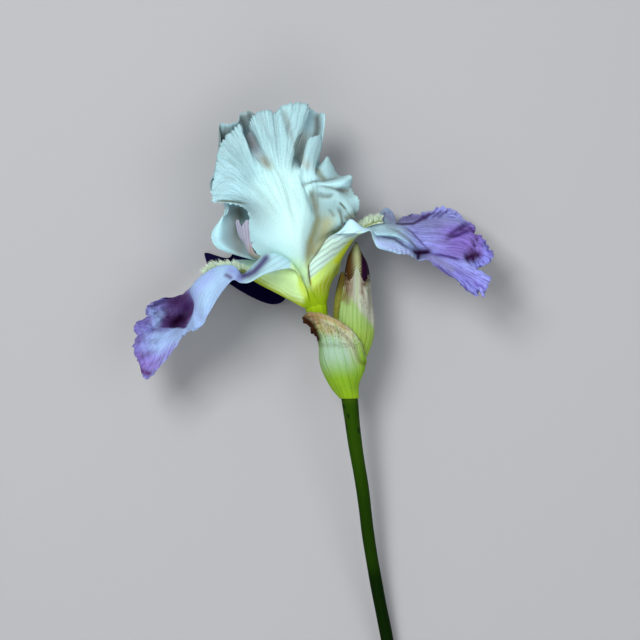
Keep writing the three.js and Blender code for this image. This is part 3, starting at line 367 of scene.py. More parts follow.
FALL_RIGHT_FOLDS = [
    ([(56, 37), (62, 40.7), (66, 42.8), (71, 45.6)], 1.1, 1.4),
    ([(56, 36), (62, 38.5), (67, 41), (71, 43)], 0.8, 0.8),
    ([(48, 46), (51.5, 49), (55, 51)], 0.8, 0.7),
    ([(54, 46.5), (58, 50), (60.5, 51.8)], 0.8, 0.7),
    ([(37, 43.6), (42, 40.5), (46, 36), (51.5, 30.6)], 0.7, 0.5),
    ([(29, 42.8), (36, 40.4), (41.4, 36.2), (46, 31)], 0.8, 0.7),
    ([(24.5, 38), (28.5, 37.9), (34, 37), (38.5, 34), (43, 30.4)], 0.8, 0.7),
    ([(50, 30.3), (58, 29.2), (66, 27)], 1.0, 0.8),
    ([(66, 28.8), (70, 30), (74, 30)], 2.2, 2.0),
    ([(70, 32), (71.3, 36), (73, 39.5)], 0.9, 1.2),
    ([(60, 24), (66, 22), (72, 19)], 1.2, 0.7),
]


def rise(low, high, x):
    """Smooth step from 0 where x is low to 1 where it is high; low may be the larger one."""
    f = np.clip((x - low) / (high - low), 0, 1)
    return f * f * (3 - 2 * f)


def along(points, u):
    """Points at shares u (0 to 1) of the uniform Catmull-Rom curve through rows of points, ends mirrored."""
    points = np.asarray(points, float)
    spans = len(points) - 1
    padded = np.concatenate([[2 * points[0] - points[1]], points, [2 * points[-1] - points[-2]]])
    k = np.minimum((u * spans).astype(int), spans - 1)
    f = (u * spans - k).reshape((-1,) + (1,) * (points.ndim - 1))
    a, b, c, d = (padded[k + i] for i in range(4))
    bend = (2 * a - 5 * b + 4 * c - d) * f * f
    return 0.5 * (2 * b + (c - a) * f + bend + (3 * b - a - 3 * c + d) * f ** 3)


def loft(sections, rows, columns):
    """Grid of points of the smooth sheet through the sections; column t is -1 at a section's first point,
    0 at its midrib point and 1 at its last."""
    t = np.linspace(-1, 1, columns + 1)
    lines = []
    for mid, points in sections:
        last = len(points) - 1
        lines.append(along(points, np.where(t < 0, (1 + t) * mid, mid + t * (last - mid)) / last))
    return along(np.array(lines), np.linspace(0, 1, rows + 1))


def shares(grid):
    """s (0 at the base, 1 at the end margin) and t (-1 to 1 across) of each point of a grid."""
    rows, columns = grid.shape[:2]
    return np.meshgrid(np.linspace(0, 1, rows), np.linspace(-1, 1, columns), indexing="ij")


def soften(grid, passes):
    """Grid with its folds softened: each point moves a share of the way to each of its neighbours; margins
    only along themselves, the end margin less, and the base stays."""
    p = grid.copy()
    for _ in range(passes):
        q = p.copy()
        q[1:-1] += (p[:-2] + p[2:] - 2 * p[1:-1]) / INNER_PULL
        q[1:-1, 1:-1] += (p[1:-1, :-2] + p[1:-1, 2:] - 2 * p[1:-1, 1:-1]) / INNER_PULL
        q[-1, 1:-1] += (p[-1, :-2] + p[-1, 2:] - 2 * p[-1, 1:-1]) / END_PULL
        p = q
    return p


def unit(vectors):
    """Vectors scaled to length 1."""
    return vectors / np.maximum(np.linalg.norm(vectors, axis=-1, keepdims=True), 1e-12)


def normals(grid):
    """Unit normals of a grid from the differences between neighbours, across times along."""
    return unit(np.cross(np.gradient(grid, axis=COLUMN), np.gradient(grid, axis=ROW)))


def lifted(grid, height):
    """Grid with each point moved along its normal by a height."""
    return grid + height[..., None] * normals(grid)


def on_sheet(grid, s, t):
    """Points of a grid at shares s and t, straight between its nearest points."""
    rows, columns = grid.shape[0] - 1, grid.shape[1] - 1
    i = np.clip(s * rows, 0, rows - 1e-6)
    j = np.clip((t + 1) / 2 * columns, 0, columns - 1e-6)
    a, b = i.astype(int), j.astype(int)
    f, g = (i - a)[..., None], (j - b)[..., None]
    return ((grid[a, b] * (1 - g) + grid[a, b + 1] * g) * (1 - f)
            + (grid[a + 1, b] * (1 - g) + grid[a + 1, b + 1] * g) * f)


def hum(x, seed, waves=5):
    """Smooth irregular wave in -1 to 1 over x: a sum of sines, with pitches near 1 and phases from a seed."""
    rng = np.random.default_rng(seed)
    total = 0 * x
    for pitch, phase in zip(rng.uniform(0.5, 1.9, waves), rng.uniform(0, PHASES, waves)):
        total = total + np.sin(TURN * pitch * x + phase)
    return total / math.sqrt(2 * waves)


def distance(x, y, path, with_share=False):
    """Distance in X and Y from each point to the nearest stretch of an open path; on request also the share
    of the path's stretches that lie before that nearest place."""
    best = np.full(np.shape(x), 1e9)
    share = np.zeros(np.shape(x))
    for k, ((ax, ay), (bx, by)) in enumerate(zip(path[:-1], path[1:])):
        wide, high = bx - ax, by - ay
        f = np.clip(((x - ax) * wide + (y - ay) * high) / max(wide * wide + high * high, 1e-9), 0, 1)
        away = np.hypot(x - ax - f * wide, y - ay - f * high)
        share = np.where(away < best, (k + f) / (len(path) - 1), share)
        best = np.minimum(best, away)
    return (best, share) if with_share else best


def mark(x, y, path, width):
    """Soft mark along a path, 1 on it and fading over the width: a bell of the distance."""
    return np.exp(-(distance(x, y, path) / width) ** 2)


def stroke(x, y, path, width):
    """Soft mark along a path that also fades out towards both its ends."""
    away, share = distance(x, y, path, True)
    return np.exp(-(away / width) ** 2) * rise(0, 0.3, share) * rise(1, 0.7, share)


def crease(grid, side, folds):
    """Grid pressed in along its normal on the given side by soft grooves; a fold is path, width and depth."""
    for path, width, depth in folds:
        grid = lifted(grid, -side * depth * stroke(grid[..., 0], grid[..., 1], path, width))
    return grid


def rim_wave(line, pitch, seed):
    """Lobes along a margin: the size of a sine of the length along it, its pitch and height wandering."""
    length = np.concatenate([[0], np.cumsum(np.linalg.norm(np.diff(line, axis=0), axis=1))]) / pitch
    height = 0.6 + 0.5 * hum(length / 2.5, seed + 7)
    return (np.abs(np.sin(math.pi * (length + 0.6 * hum(length / 5, seed)))) ** 0.8 - 0.65) * height


def frill(grid, pitch, depth, swell, seed, reach=0.06, start=0.25, flanks=0.6):
    """Margin cut into small round lobes of a pitch in mm: near it the points slide outwards, mostly in X and
    Y, by depth times the lobes and rise along the normal by swell times the lobes; weaker on the flanks,
    which are cut from a share of the length on."""
    s, t = shares(grid)
    flat = np.array([1, 1, 0.35])
    out = unit(np.gradient(grid, axis=ROW) * flat)
    across = unit(np.gradient(grid, axis=COLUMN) * flat)
    end = rim_wave(grid[-1], pitch, seed)[None, :]
    left, right = rim_wave(grid[:, 0], pitch, seed + 1), rim_wave(grid[:, -1], pitch, seed + 2)
    flank = np.where(t < 0, left[:, None], right[:, None]) * rise(start, start + 0.2, s) * flanks
    near_end = np.clip((s - 1 + reach) / reach, 0, 1) ** 2
    near_flank = np.clip((np.abs(t) - 1 + reach) / reach, 0, 1) ** 2
    wide_end = rise(1 - 2 * reach, 1, s)
    wide_flank = rise(1 - 2 * reach, 1, np.abs(t)) * (1 - wide_end)
    slide = (near_end * end)[..., None] * out + (near_flank * flank * np.sign(t))[..., None] * across
    bulge = wide_end * end + wide_flank * flank
    return grid + depth * slide + (swell * bulge)[..., None] * normals(grid)


def flutter(grid, depth, count, seed):
    """Wavy margin: points move along the normal by an irregular wave that grows towards the margin."""
    s, t = shares(grid)
    edge = rise(0.55, 1, np.maximum(s, np.abs(t) * rise(0.25, 0.5, s)))
    turn = np.arctan2(t, (s - 0.4) / 0.6) / HALF_TURN
    return lifted(grid, depth * edge * hum(count * turn, seed))


def crumple(grid, places, depth, pitch, seed):
    """Crumpled places: points near each path move along the normal by irregular waves of a pitch in mm."""
    x, y, z = np.moveaxis(grid, -1, 0)
    wave = hum(x / pitch + 0.3 * y / pitch, seed) + hum(y / pitch - 0.4 * z / pitch, seed + 1)
    near = np.max([mark(x, y, path, width) for path, width in places], axis=0)
    return lifted(grid, depth * near * wave)


def pucker(grid, depth, count, seed, start=0.5):
    """Gentle ridges along the veins and weaker ones across them: points move along the normal by irregular
    waves of t and of s that start at a share of the length from the base."""
    s, t = shares(grid)
    ridges = hum(t * count + 0.25 * hum(s * 2, seed + 1), seed) * rise(start, start + 0.35, s)
    far = rise(start, start + 0.3, s)
    dents = hum(s * count * 0.8 + t * 2, seed + 2) * hum(t * count * 0.5, seed + 3) * far
    return lifted(grid, depth * (ridges + 0.8 * dents))


def hollows(grid, passes=70):
    """How far each point lies below the softened sheet round it, seen from the side of its normal, in mm."""
    return np.einsum("ijk,ijk->ij", soften(grid, passes) - grid, normals(grid))


def cells(grid):
    """The values at the four corners of each cell of a grid, going round it, one cell a row."""
    around = [grid[:-1, :-1], grid[:-1, 1:], grid[1:, 1:], grid[1:, :-1]]
    return np.stack(around, 2).reshape((-1, 4) + grid.shape[2:])


def rim(grid):
    """The values along the margin of a grid, once round and back to the first."""
    return np.concatenate([grid[0, :-1], grid[:-1, -1], grid[-1, :0:-1], grid[:0:-1, 0], grid[:1, 0]])


def closed_rings(count, sides):
    """Numbers of the points of rings, each ring closed by its first point again."""
    at = np.arange(count * sides).reshape(count, sides)
    return np.concatenate([at, at[:, :1]], 1)


class Surface:
    """A closed mesh under construction: points in mm, faces as arrays of point numbers, the UV of each
    face's corners, and the pigment of each point."""

    def __init__(self, points, faces, corners, pigment):
        self.points = points
        self.faces = faces
        self.corners = corners
        self.pigment = pigment

    def joined(self, other):
        """This surface and another one as a single surface."""
        return Surface(np.concatenate([self.points, other.points]),
                       self.faces + [f + len(self.points) for f in other.faces],
                       self.corners + other.corners,
                       np.concatenate([self.pigment, other.pigment]))

    def turned_out(self, points):
        """Faces and their UVs with outward sides: turned round where the volume they enclose is negative."""
        volume = 0.0
        for f in self.faces:
            for k in range(1, f.shape[1] - 1):
                a, b, c = points[f[:, 0]], points[f[:, k]], points[f[:, k + 1]]
                volume += np.einsum("ij,ij->i", a, np.cross(b, c)).sum()
        step = -1 if volume < 0 else 1
        return [f[:, ::step] for f in self.faces], [c[:, ::step] for c in self.corners]

    def mesh(self, name):
        """The Blender mesh in metres in the part's frame; no point lies below the surface it rests on."""
        points = np.maximum(self.points + SHIFT, [-1e9, -1e9, 0]) * MM
        faces, corners = self.turned_out(points)
        sizes = np.concatenate([np.full(len(f), f.shape[1]) for f in faces])
        loops = np.concatenate([f.ravel() for f in faces])
        starts = np.concatenate([[0], np.cumsum(sizes)[:-1]])
        mesh = bpy.data.meshes.new(name)
        mesh.vertices.add(len(points))
        mesh.vertices.foreach_set("co", points.ravel())
        mesh.loops.add(len(loops))
        mesh.loops.foreach_set("vertex_index", loops.astype(np.int32))
        mesh.polygons.add(len(sizes))
        mesh.polygons.foreach_set("loop_start", starts.astype(np.int32))
        mesh.polygons.foreach_set("use_smooth", np.ones(len(sizes), bool))
        uv = mesh.uv_layers.new(name="UVMap")
        uv.uv.foreach_set("vector", np.concatenate([c.reshape(-1, 2) for c in corners]).ravel())
        tint = mesh.attributes.new("pigment", "FLOAT_COLOR", "POINT")
        rgba = np.concatenate([self.pigment, np.ones((len(points), 1))], 1)[:, :4]
        tint.data.foreach_set("color", rgba.astype(np.float32).ravel())
        mesh.update(calc_edges=True)
        mesh.validate()
        return mesh

    def piece(self, name, material, node, slot):
        """The finished Blender object, which stands for a CAD node."""
        mesh = self.mesh(name)
        mesh.materials.append(material)
        made = bpy.data.objects.new(name, mesh)
        bpy.context.scene.collection.objects.link(made)
        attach(made, "root")
        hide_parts(node)


def sheet(grid, thickness, paint, shade=0.0, strength=None):
    """Closed sheet round a grid: the grid moved half the thickness(s, t) along its normals to each side and
    stitched along its rim. paint(s, t, grid, side) gives the colour of each side, darker by shade in folds,
    and strength what goes with it as alpha."""
    s, t = shares(grid)
    half = 0.5 * thickness(s, t)[..., None] * normals(grid)
    deep = hollows(grid) if shade else 0 * s
    colours = []
    for side in (1, -1):
        fold = np.clip(side * deep / FOLD_DEPTH, -RIDGE_LIGHT, 1)[..., None]
        tint = paint(s, t, grid, side) * (1 - shade * fold * FOLD_TINT)
        if strength is not None:
            tint = np.concatenate([tint, strength[..., None]], -1)
        colours.append(tint.reshape(-1, tint.shape[-1]))
    points = np.concatenate([(grid + half).reshape(-1, 3), (grid - half).reshape(-1, 3)])
    at = np.arange(s.size).reshape(s.shape)
    uv = np.stack([0.5 + 0.5 * t, s], -1)
    front, front_uv, edge, edge_uv = cells(at), cells(uv), rim(at), rim(uv)
    faces = [front, front[:, TURNED] + s.size, cells(np.stack([edge, edge + s.size], 1))]
    corners = [front_uv, front_uv[:, TURNED], cells(np.stack([edge_uv, edge_uv], 1))]
    return Surface(points, faces, corners, np.concatenate(colours))


def rod(stations, steps, sides, paint, bulge):
    """Closed rod: circles round the smooth line through the stations, their radius scaled by bulge(angle, u);
    the ends close in rings towards a middle point. paint(angle, u, x, y) gives the colour."""
    u = np.linspace(0, 1, steps + 1)
    line = along(stations, u)
    ahead = unit(np.gradient(line[:, :3], axis=0))
    side = unit(np.cross(ahead, [0, 0, 1]))
    up = np.cross(side, ahead)
    angle = np.linspace(0, 2 * np.pi, sides, endpoint=False)
    a, v = np.meshgrid(angle, u)
    ring = np.cos(a)[..., None] * side[:, None] + np.sin(a)[..., None] * up[:, None]
    wall = line[:, None, :3] + (line[:, 3:4] * bulge(a, v))[..., None] * ring
    first = [line[0, :3] + f * (wall[0] - line[0, :3]) for f in ROUND_ENDS[::-1]]
    last = [line[-1, :3] + f * (wall[-1] - line[-1, :3]) for f in ROUND_ENDS]
    rings = np.concatenate([first, wall, last])
    v = np.concatenate([[-0.01] * len(first), u, [1.01] * len(last)])
    count = len(rings)
    at = closed_rings(count, sides)
    low, top = np.full(sides, count * sides), np.full(sides, count * sides + 1)
    fans = np.concatenate([np.stack([at[0, 1:], at[0, :-1], low], -1),
                           np.stack([at[-1, :-1], at[-1, 1:], top], -1)])
    fan_uv = np.zeros((len(fans), 3, 2))
    fan_uv[:sides, :, 1] = v[0]
    fan_uv[sides:, :, 1] = v[-1]
    uv = np.stack(np.meshgrid(np.arange(sides + 1) / sides, v), -1)
    a, high = np.meshgrid(angle, v)
    colours = paint(a, high, rings[..., 0], rings[..., 1]).reshape(-1, 3)
    colours = np.concatenate([colours, colours[:1], colours[-1:]])
    points = np.concatenate([rings.reshape(-1, 3), line[:1, :3], line[-1:, :3]])
    return Surface(points, [cells(at), fans], [cells(uv), fan_uv], colours)


def hairs(roots, tips, lean, radius, sides, steps, colours):
    """Tapered hairs from roots to tips, bowed by lean at mid-length, all worked out as one array."""
    count = len(roots)
    f = np.linspace(0, 1, steps + 1)
    middle = (roots[:, None] * (1 - f)[:, None] + tips[:, None] * f[:, None]
              + lean[:, None] * (4 * f * (1 - f))[:, None])
    ahead = unit(tips - roots)
    side = unit(np.cross(ahead, [0.31, 0.52, 0.8]))
    up = np.cross(side, ahead)
    a = np.linspace(0, 2 * np.pi, sides, endpoint=False)
    ring = np.cos(a)[:, None] * side[:, None, None] + np.sin(a)[:, None] * up[:, None, None]
    reach = radius * (1 - 0.8 * f)[None, :, None, None]
    points = (middle[:, :, None] + reach * ring).reshape(-1, 3)
    first = np.arange(count)[:, None, None] * (steps + 1) * sides
    quads = (cells(closed_rings(steps + 1, sides)) + first).reshape(-1, 4)
    at = np.arange(len(points)).reshape(count, steps + 1, sides)
    caps = np.concatenate([at[:, 0, ::-1], at[:, -1]])
    across, high = np.meshgrid(np.full(sides + 1, 0.5), f)
    corners = np.tile(cells(np.stack([across, high], -1)), (count, 1, 1))
    cap_uv = np.full((len(caps), sides, 2), 0.5)
    tint = np.broadcast_to(colours[:, None, None], at.shape + (3,)).reshape(-1, 3)
    return Surface(points, [quads, caps], [corners, cap_uv], tint)


# Colours, as light that the surface sends back in red, green and blue
WHITE = np.array([0.36, 0.57, 0.63])
# Painted highlight: the white where the front standard is most brightly lit
HIGHLIGHT_WHITE = np.array([0.65, 0.97, 0.96])
# Painted shade: grey of a white petal in shade
GREY = np.array([0.19, 0.24, 0.24])
GREY_LILAC = np.array([0.30, 0.36, 0.42])
# Painted shade along the creases of a white petal
FOLD_SHADE_GREY = (0.15, 0.17, 0.13)
# Painted shade: neutral grey of the back standards in shade
SHADE_NEUTRAL = np.array([0.44, 0.50, 0.48])
# Painted shade: warm beige of a white petal in its shaded valleys and slits
SHADE_BEIGE = np.array([0.31, 0.32, 0.17])
YELLOW = np.array([0.44, 0.58, 0.04])
YELLOW_GREEN = np.array([0.30, 0.46, 0.01])
PALE_YELLOW = np.array([0.52, 0.75, 0.36])
BROWN_LINE = np.array([0.16, 0.09, 0.005])
PALE_BLUE = np.array([0.39, 0.56, 0.90])
LAVENDER = np.array([0.27, 0.30, 0.66])
VIOLET = np.array([0.21, 0.17, 0.54])
# Painted shade: nearly black violet of a fall's far margin in shade
DEEP_VIOLET = np.array([0.035, 0.008, 0.07])
# Painted shade in the folds of a violet petal
FOLD_SHADE_VIOLET = VIOLET * (0.25, 0.10, 0.30)
MAGENTA = np.array([0.10, 0.01, 0.13])
# Painted shade in the pockets of a violet petal and along its dark edge
SHADE_PURPLE = (0.040, 0.004, 0.060)
# Painted shade: the violet of a fall, nearly black in the shadow under the flower
SHADED_VIOLET = np.array([0.004, 0.002, 0.045])
CREAM = np.array([0.66, 0.86, 0.60])
GREEN = np.array([0.24, 0.42, 0.015])
PALE_GREEN = np.array([0.35, 0.52, 0.42])
TAN = np.array([0.36, 0.33, 0.16])
BROWN = np.array([0.07, 0.02, 0.004])
PAPERY = np.array([0.38, 0.40, 0.33])

# Marks on petals and bracts: form, colour, share, width and path
# Painted light on the front standard: shade on the left lobe, in the valley fold, in the notch's grey panel
# and along the fold between the top lobes
FRONT_MARKS = [
    (mark, WHITE * 0.85, 0.9, 4, [(-37, 74), (-34.5, 69), (-33, 66)]),
    (mark, GREY_LILAC * 1.1, 0.75, 2.2, [(-34, 88), (-31.5, 82), (-28.5, 76), (-24, 71)]),
    (mark, SHADE_BEIGE * 1.2, 0.45, 2.0, [(-25.5, 73), (-23, 69.5)]),
    (mark, (0.40, 0.48, 0.46), 0.8, 2.0, [(-7, 85), (-9.5, 79), (-9, 74), (-6, 70)]),
    (stroke, GREY * 1.5, 0.7, 0.8, [(-16, 97), (-15, 92), (-13, 84), (-11, 78)]),
    # painted highlights on the bulging band between two folds and on the point lobe
    (mark, WHITE * 1.5, 0.8, 1.5, [(1, 61.9), (6, 62.2), (12, 62)]),
    (mark, WHITE * 1.3, 0.8, 1.8, [(3.4, 70), (3.4, 67)]),
    # painted shade in the point lobe's hollow, along the creases, in the slit and in the dark lower right
    # corner
    (mark, (0.17, 0.19, 0.14), 0.9, 1.3, [(-0.9, 68), (0.2, 66), (1.6, 64.3)]),
    (stroke, FOLD_SHADE_GREY, 0.75, 0.5, [(-8.5, 60.4), (-6.5, 61.6), (-3.5, 62.7), (0, 63.2), (4, 62.9)]),
    (stroke, FOLD_SHADE_GREY, 0.7, 0.5, [(0, 63.5), (2.5, 63.6), (5.5, 64.2), (9.5, 65.4)]),
    (stroke, FOLD_SHADE_GREY, 0.9, 0.4,
     [(-3.2, 60.6), (1.8, 60.7), (5.5, 60), (9.2, 59.3), (12.4, 58.9), (14.2, 60.4)]),
    (stroke, FOLD_SHADE_GREY, 0.7, 0.7, [(-1.6, 57), (1.8, 56.1), (4.1, 56.1), (6.5, 56.8)]),
    (stroke, FOLD_SHADE_GREY, 0.85, 0.6, [(7.7, 51.4), (9.2, 48.8), (10.1, 45.1), (10.4, 43)]),
    (stroke, FOLD_SHADE_GREY, 0.55, 0.5, [(4, 50.5), (5.5, 48.6), (6.8, 46.8)]),
    (stroke, FOLD_SHADE_GREY, 0.4, 0.6, [(-1.2, 60), (-1.3, 54), (-0.8, 47)]),
    (stroke, SHADE_BEIGE * 0.35, 1, 0.42, [(8.6, 54.2), (9.6, 52.9), (10.8, 51.4), (12.8, 49.2)]),
    (mark, (0.13, 0.14, 0.10), 0.85, 1.9, [(12.5, 46.5), (15, 47.8), (17.5, 48.5)]),
]
# Painted light on the back standards: a highlight on the left cup's rim, shade inside the cup, under its
# fold, at its top left corner and along its top
BACK_MARKS = [
    (mark, WHITE * 1.35, 0.7, 3.0, [(-49, 42), (-47.5, 37), (-44, 32.5)]),
    (mark, SHADE_NEUTRAL * 0.85, 0.8, 3.2, [(-39, 50), (-40, 42), (-37, 32)]),
    (mark, (0.16, 0.17, 0.12), 0.7, 1.6, [(-37.5, 50.5), (-36.5, 47.5)]),
    (mark, GREY * (0.6, 0.5, 0.42), 0.85, 2.6, [(-45.2, 87), (-43.5, 84), (-44.5, 79)]),
    (mark, SHADE_NEUTRAL * 1.1, 0.6, 2.4, [(-36, 91), (-33, 94), (-30, 92)]),
    # painted highlights on the rims and the rolled lobe, a light patch that lightens the panel seen through
    # the notch, shade in the upper panel
    (stroke, WHITE * 1.1, 0.9, 1.0, [(-45.6, 84), (-44.5, 89.8), (-40, 90), (-36, 88)]),
    (mark, (0.82, 0.85, 0.80), 1, 4.0, [(-9, 83), (-10, 78), (-8, 71)]),
    (mark, GREY * (0.55, 0.48, 0.46), 0.9, 2.3, [(-1.4, 93), (-1.0, 88), (-2.0, 84)]),
    (stroke, WHITE * 1.4, 1, 0.45, [(2.3, 99), (2.2, 92), (1.8, 84), (1, 78)]),
    (mark, WHITE * 1.5, 1, 2.2, [(-0.5, 80), (-1, 76), (-2, 71)]),
]
LEFT_LOBE_MARKS = [
    (mark, (0.28, 0.20, 0.62), 0.7, 4.5, [(-82, -19), (-74, -18), (-68, -13)]),
    (mark, PALE_BLUE, 0.9, 3.4, [(-63, -6), (-68, -8), (-74, -12)]),
    (mark, PALE_BLUE * 0.85, 0.6, 2.2, [(-78, 4), (-74.5, 2), (-76, -10)]),
    (mark, VIOLET * 0.75, 0.6, 1.2, [(-82, -3), (-79, -5), (-73, -4.7), (-70, -4.6)]),
]
# Painted shade in the left fall's pocket: darkest at its bottom, lighter on its wall by the band
LEFT_PIT_MARKS = [
    (mark, (0.016, 0.000, 0.028), 1, 2.6, [(-67.5, -2.5), (-66, 0), (-64.5, 1)]),
    (mark, (0.15, 0.085, 0.27), 0.8, 1.1, [(-58.8, 6), (-58.8, 3), (-60.5, 0)]),
]
LEFT_TIP_MARKS = [
    (mark, MAGENTA * 0.9, 0.95, 1.2, [(-83, -22.5), (-81, -24), (-78, -24.3)]),
    (mark, LAVENDER * 1.5, 0.8, 0.6, [(-81.3, -25.6), (-80.2, -27)]),
]
# Painted shade in the hollow between the left fall's flap and the beard's channel, and in a small fold beside
# the beard; then lavender by the beard's end
LEFT_FLAP_MARKS = [
    (mark, (0.05, 0.035, 0.13), 0.95, 1.9,
     [(-35.5, 19.7), (-32.6, 20.4), (-29.8, 22), (-27.3, 24.7), (-24.6, 28)]),
    (mark, (0.12, 0.10, 0.22), 0.9, 1.0, [(-42.5, 20.3), (-40.5, 19.2)]),
    (mark, LAVENDER, 0.6, 1.6, [(-41, 22.5), (-38.5, 21.5), (-37, 19)]),
]
RIGHT_TOP_MARKS = [
    (mark, (0.26, 0.28, 0.55), 0.7, 3.0, [(50, 44), (58, 47), (65, 47)]),
    # painted shade in the pocket of the small far lobe
    (mark, (0.19, 0.16, 0.38), 0.8, 2.0, [(38, 47), (43, 47.5), (48, 48)]),
    (mark, (0.24, 0.25, 0.44), 0.85, 2.6, [(31, 49), (33, 46)]),
    (stroke, (0.04, 0.03, 0.10), 0.85, 0.55, [(29.6, 43.5), (29.2, 47), (30.5, 51)]),
]
RIGHT_BLADE_MARKS = [
    (mark, (0.27, 0.29, 0.80), 0.9, 2.6, [(77, 35), (77.5, 29), (73, 25.5)]),
    (mark, (0.24, 0.23, 0.66), 0.8, 4, [(56, 24), (64, 20), (74, 15)]),
    (mark, (0.25, 0.25, 0.42), 0.7, 1.8, [(50, 28.5), (56, 26), (60, 23)]),
    (mark, VIOLET * 0.45, 0.75, 1.0, [(54, 24.3), (60, 19.5), (66, 14.5), (70, 11.5)]),
    # painted shade from here on: in the blade's two pockets, along its top edge and in its folds
    (mark, SHADE_PURPLE, 1, 1.6, [(67.5, 28), (70.3, 29.6), (73, 30)]),
    (mark, SHADE_PURPLE, 1, 1.2, [(70.5, 28), (70.5, 27.5)]),
    (mark, SHADE_PURPLE, 1, 1.6, [(43.5, 31), (46, 31.2), (49.5, 31.4)]),
    (mark, SHADE_PURPLE, 1, 1.0, [(44.6, 28.2), (45.4, 30.5)]),
    (mark, SHADE_PURPLE, 0.95, 0.7, [(35.5, 44.3), (38, 44.1), (43, 44.4), (48, 47), (51, 49.5)]),
    (mark, SHADE_PURPLE, 0.95, 0.7, [(70.3, 33), (71.3, 36), (72.8, 38.6)]),
    (stroke, FOLD_SHADE_VIOLET, 0.85, 1.0, [(56, 37), (62, 40.7), (66, 42.8), (71, 45.6)]),
    (stroke, FOLD_SHADE_VIOLET, 0.85, 0.7, [(56, 36), (62, 38.5), (67, 41), (71, 43)]),
    (stroke, FOLD_SHADE_VIOLET, 0.85, 0.5, [(58, 38), (64, 42.6), (69, 46.5)]),
    (stroke, FOLD_SHADE_VIOLET, 0.85, 0.6, [(60, 37), (66, 39.8), (71, 41.2)]),
    (stroke, FOLD_SHADE_VIOLET, 0.85, 0.5, [(48, 46), (51.5, 49), (55, 51)]),
    (stroke, FOLD_SHADE_VIOLET, 0.85, 0.5, [(51, 46.5), (55, 49.5), (58, 52)]),
    (stroke, FOLD_SHADE_VIOLET, 0.85, 0.5, [(54, 46.5), (58, 50), (60.5, 51.8)]),
    (stroke, FOLD_SHADE_VIOLET, 0.85, 0.8, [(50, 30.3), (58, 29.2), (66, 27)]),
    (stroke, FOLD_SHADE_VIOLET, 0.85, 0.9, [(68, 44), (71, 41), (72, 39)]),
    (stroke, FOLD_SHADE_VIOLET, 0.85, 0.5, [(44, 44.5), (47, 47), (50, 50)]),
    (stroke, VIOLET * 0.4, 0.8, 0.45, [(37, 43.6), (42, 40.5), (46, 36), (51.5, 30.6)]),
    (stroke, GREY_LILAC * 0.6, 0.75, 0.5, [(29, 42.8), (36, 40.4), (41.4, 36.2), (46, 31)]),
    (stroke, VIOLET * 0.35, 0.95, 0.6, [(24.5, 38), (28.5, 37.9), (34, 37), (38.5, 34), (43, 30.4)]),
]
OUTER_MARKS = [
    (mark, (0.22, 0.10, 0.035), 0.8, 2.4, [(-7, 3), (-4, 2), (-1, 0)]),
    (mark, (0.36, 0.30, 0.14), 0.8, 2.2, [(-0.5, -3), (2.3, -4.6), (5, -5)]),
    (mark, (0.03, 0.006, 0.001), 1.3, 2.2, [(-8, 0), (-5, -2), (-3, -5), (-1.5, -8.5)]),
]
BUD_BRACT_MARKS = [
    (mark, BROWN * 2, 0.7, 1.9, [(12, 20), (12.5, 14), (11, 10)]),
    (mark, (0.20, 0.12, 0.09), 0.55, 1.3, [(14.2, 20), (14, 13), (13, 8)]),
    (mark, (0.45, 0.52, 0.40), 0.8, 0.9, [(16.9, 25), (17, 12), (19, 4)]),
    (mark, (0.22, 0.10, 0.08), 0.5, 0.9, [(19, 20), (19.5, 12)]),
    (mark, BROWN, 0.85, 1.3, [(23.5, 19), (21.5, 18.5), (20.5, 16.5)]),
    (mark, BROWN * 2, 0.3, 0.8, [(22.5, 14), (23.5, 6)]),
    (mark, BROWN, 0.8, 1.2, [(11, 22), (12, 19)]),
]

# Paths that the painting follows
FRONT_RIB = [(-22.5, 74), (-20, 69), (-17.5, 64), (-15.5, 58), (-13.8, 51), (-12, 45), (-11, 40), (-10, 33)]
FRONT_VALLEY = [(-3.8, 57.5), (-2.4, 52), (-1.2, 46), (-3, 40), (-5, 35), (-5.6, 29), (-5.6, 25)]
LEFT_LOBE_MARGIN = [(-64, 11.5), (-70, 10), (-75, 8), (-80, 4.6), (-81, 0), (-84.5, -1), (-86, -3.5),
                    (-85, -8), (-86.3, -13), (-84.5, -17.3), (-85.3, -20), (-80, -27.3)]
OUTER_TOP = [(21, -16), (19, -10), (15, -5), (10, -1), (5, 1.5), (0, 3.2), (-5, 3.6)]
STEM_FLECKS = [
    [(9.8, -35.9), (10.6, -36.9)], [(10.3, -39), (11.2, -40.6)], [(12.9, -43.6), (13.3, -45.2)],
    [(11.6, -48), (12.2, -50)], [(17.6, -50), (18, -52)],
]


def blend(colour, other, share):
    """A colour moved towards another by a share from 0 to 1."""
    share = np.clip(share, 0, 1)[..., None]
    return colour * (1 - share) + other * share


def plain(x, colour):
    """The colour at every point."""
    return colour + 0 * x[..., None]


def lay(c, x, y, marks, mask=1.0):
    """Colours with marks laid over them in turn, all weakened by a mask: each is a mark or a stroke with its
    colour, share, width and path."""
    for shape, colour, share, width, path in marks:
        c = blend(c, colour, share * mask * shape(x, y, path, width))
    return c


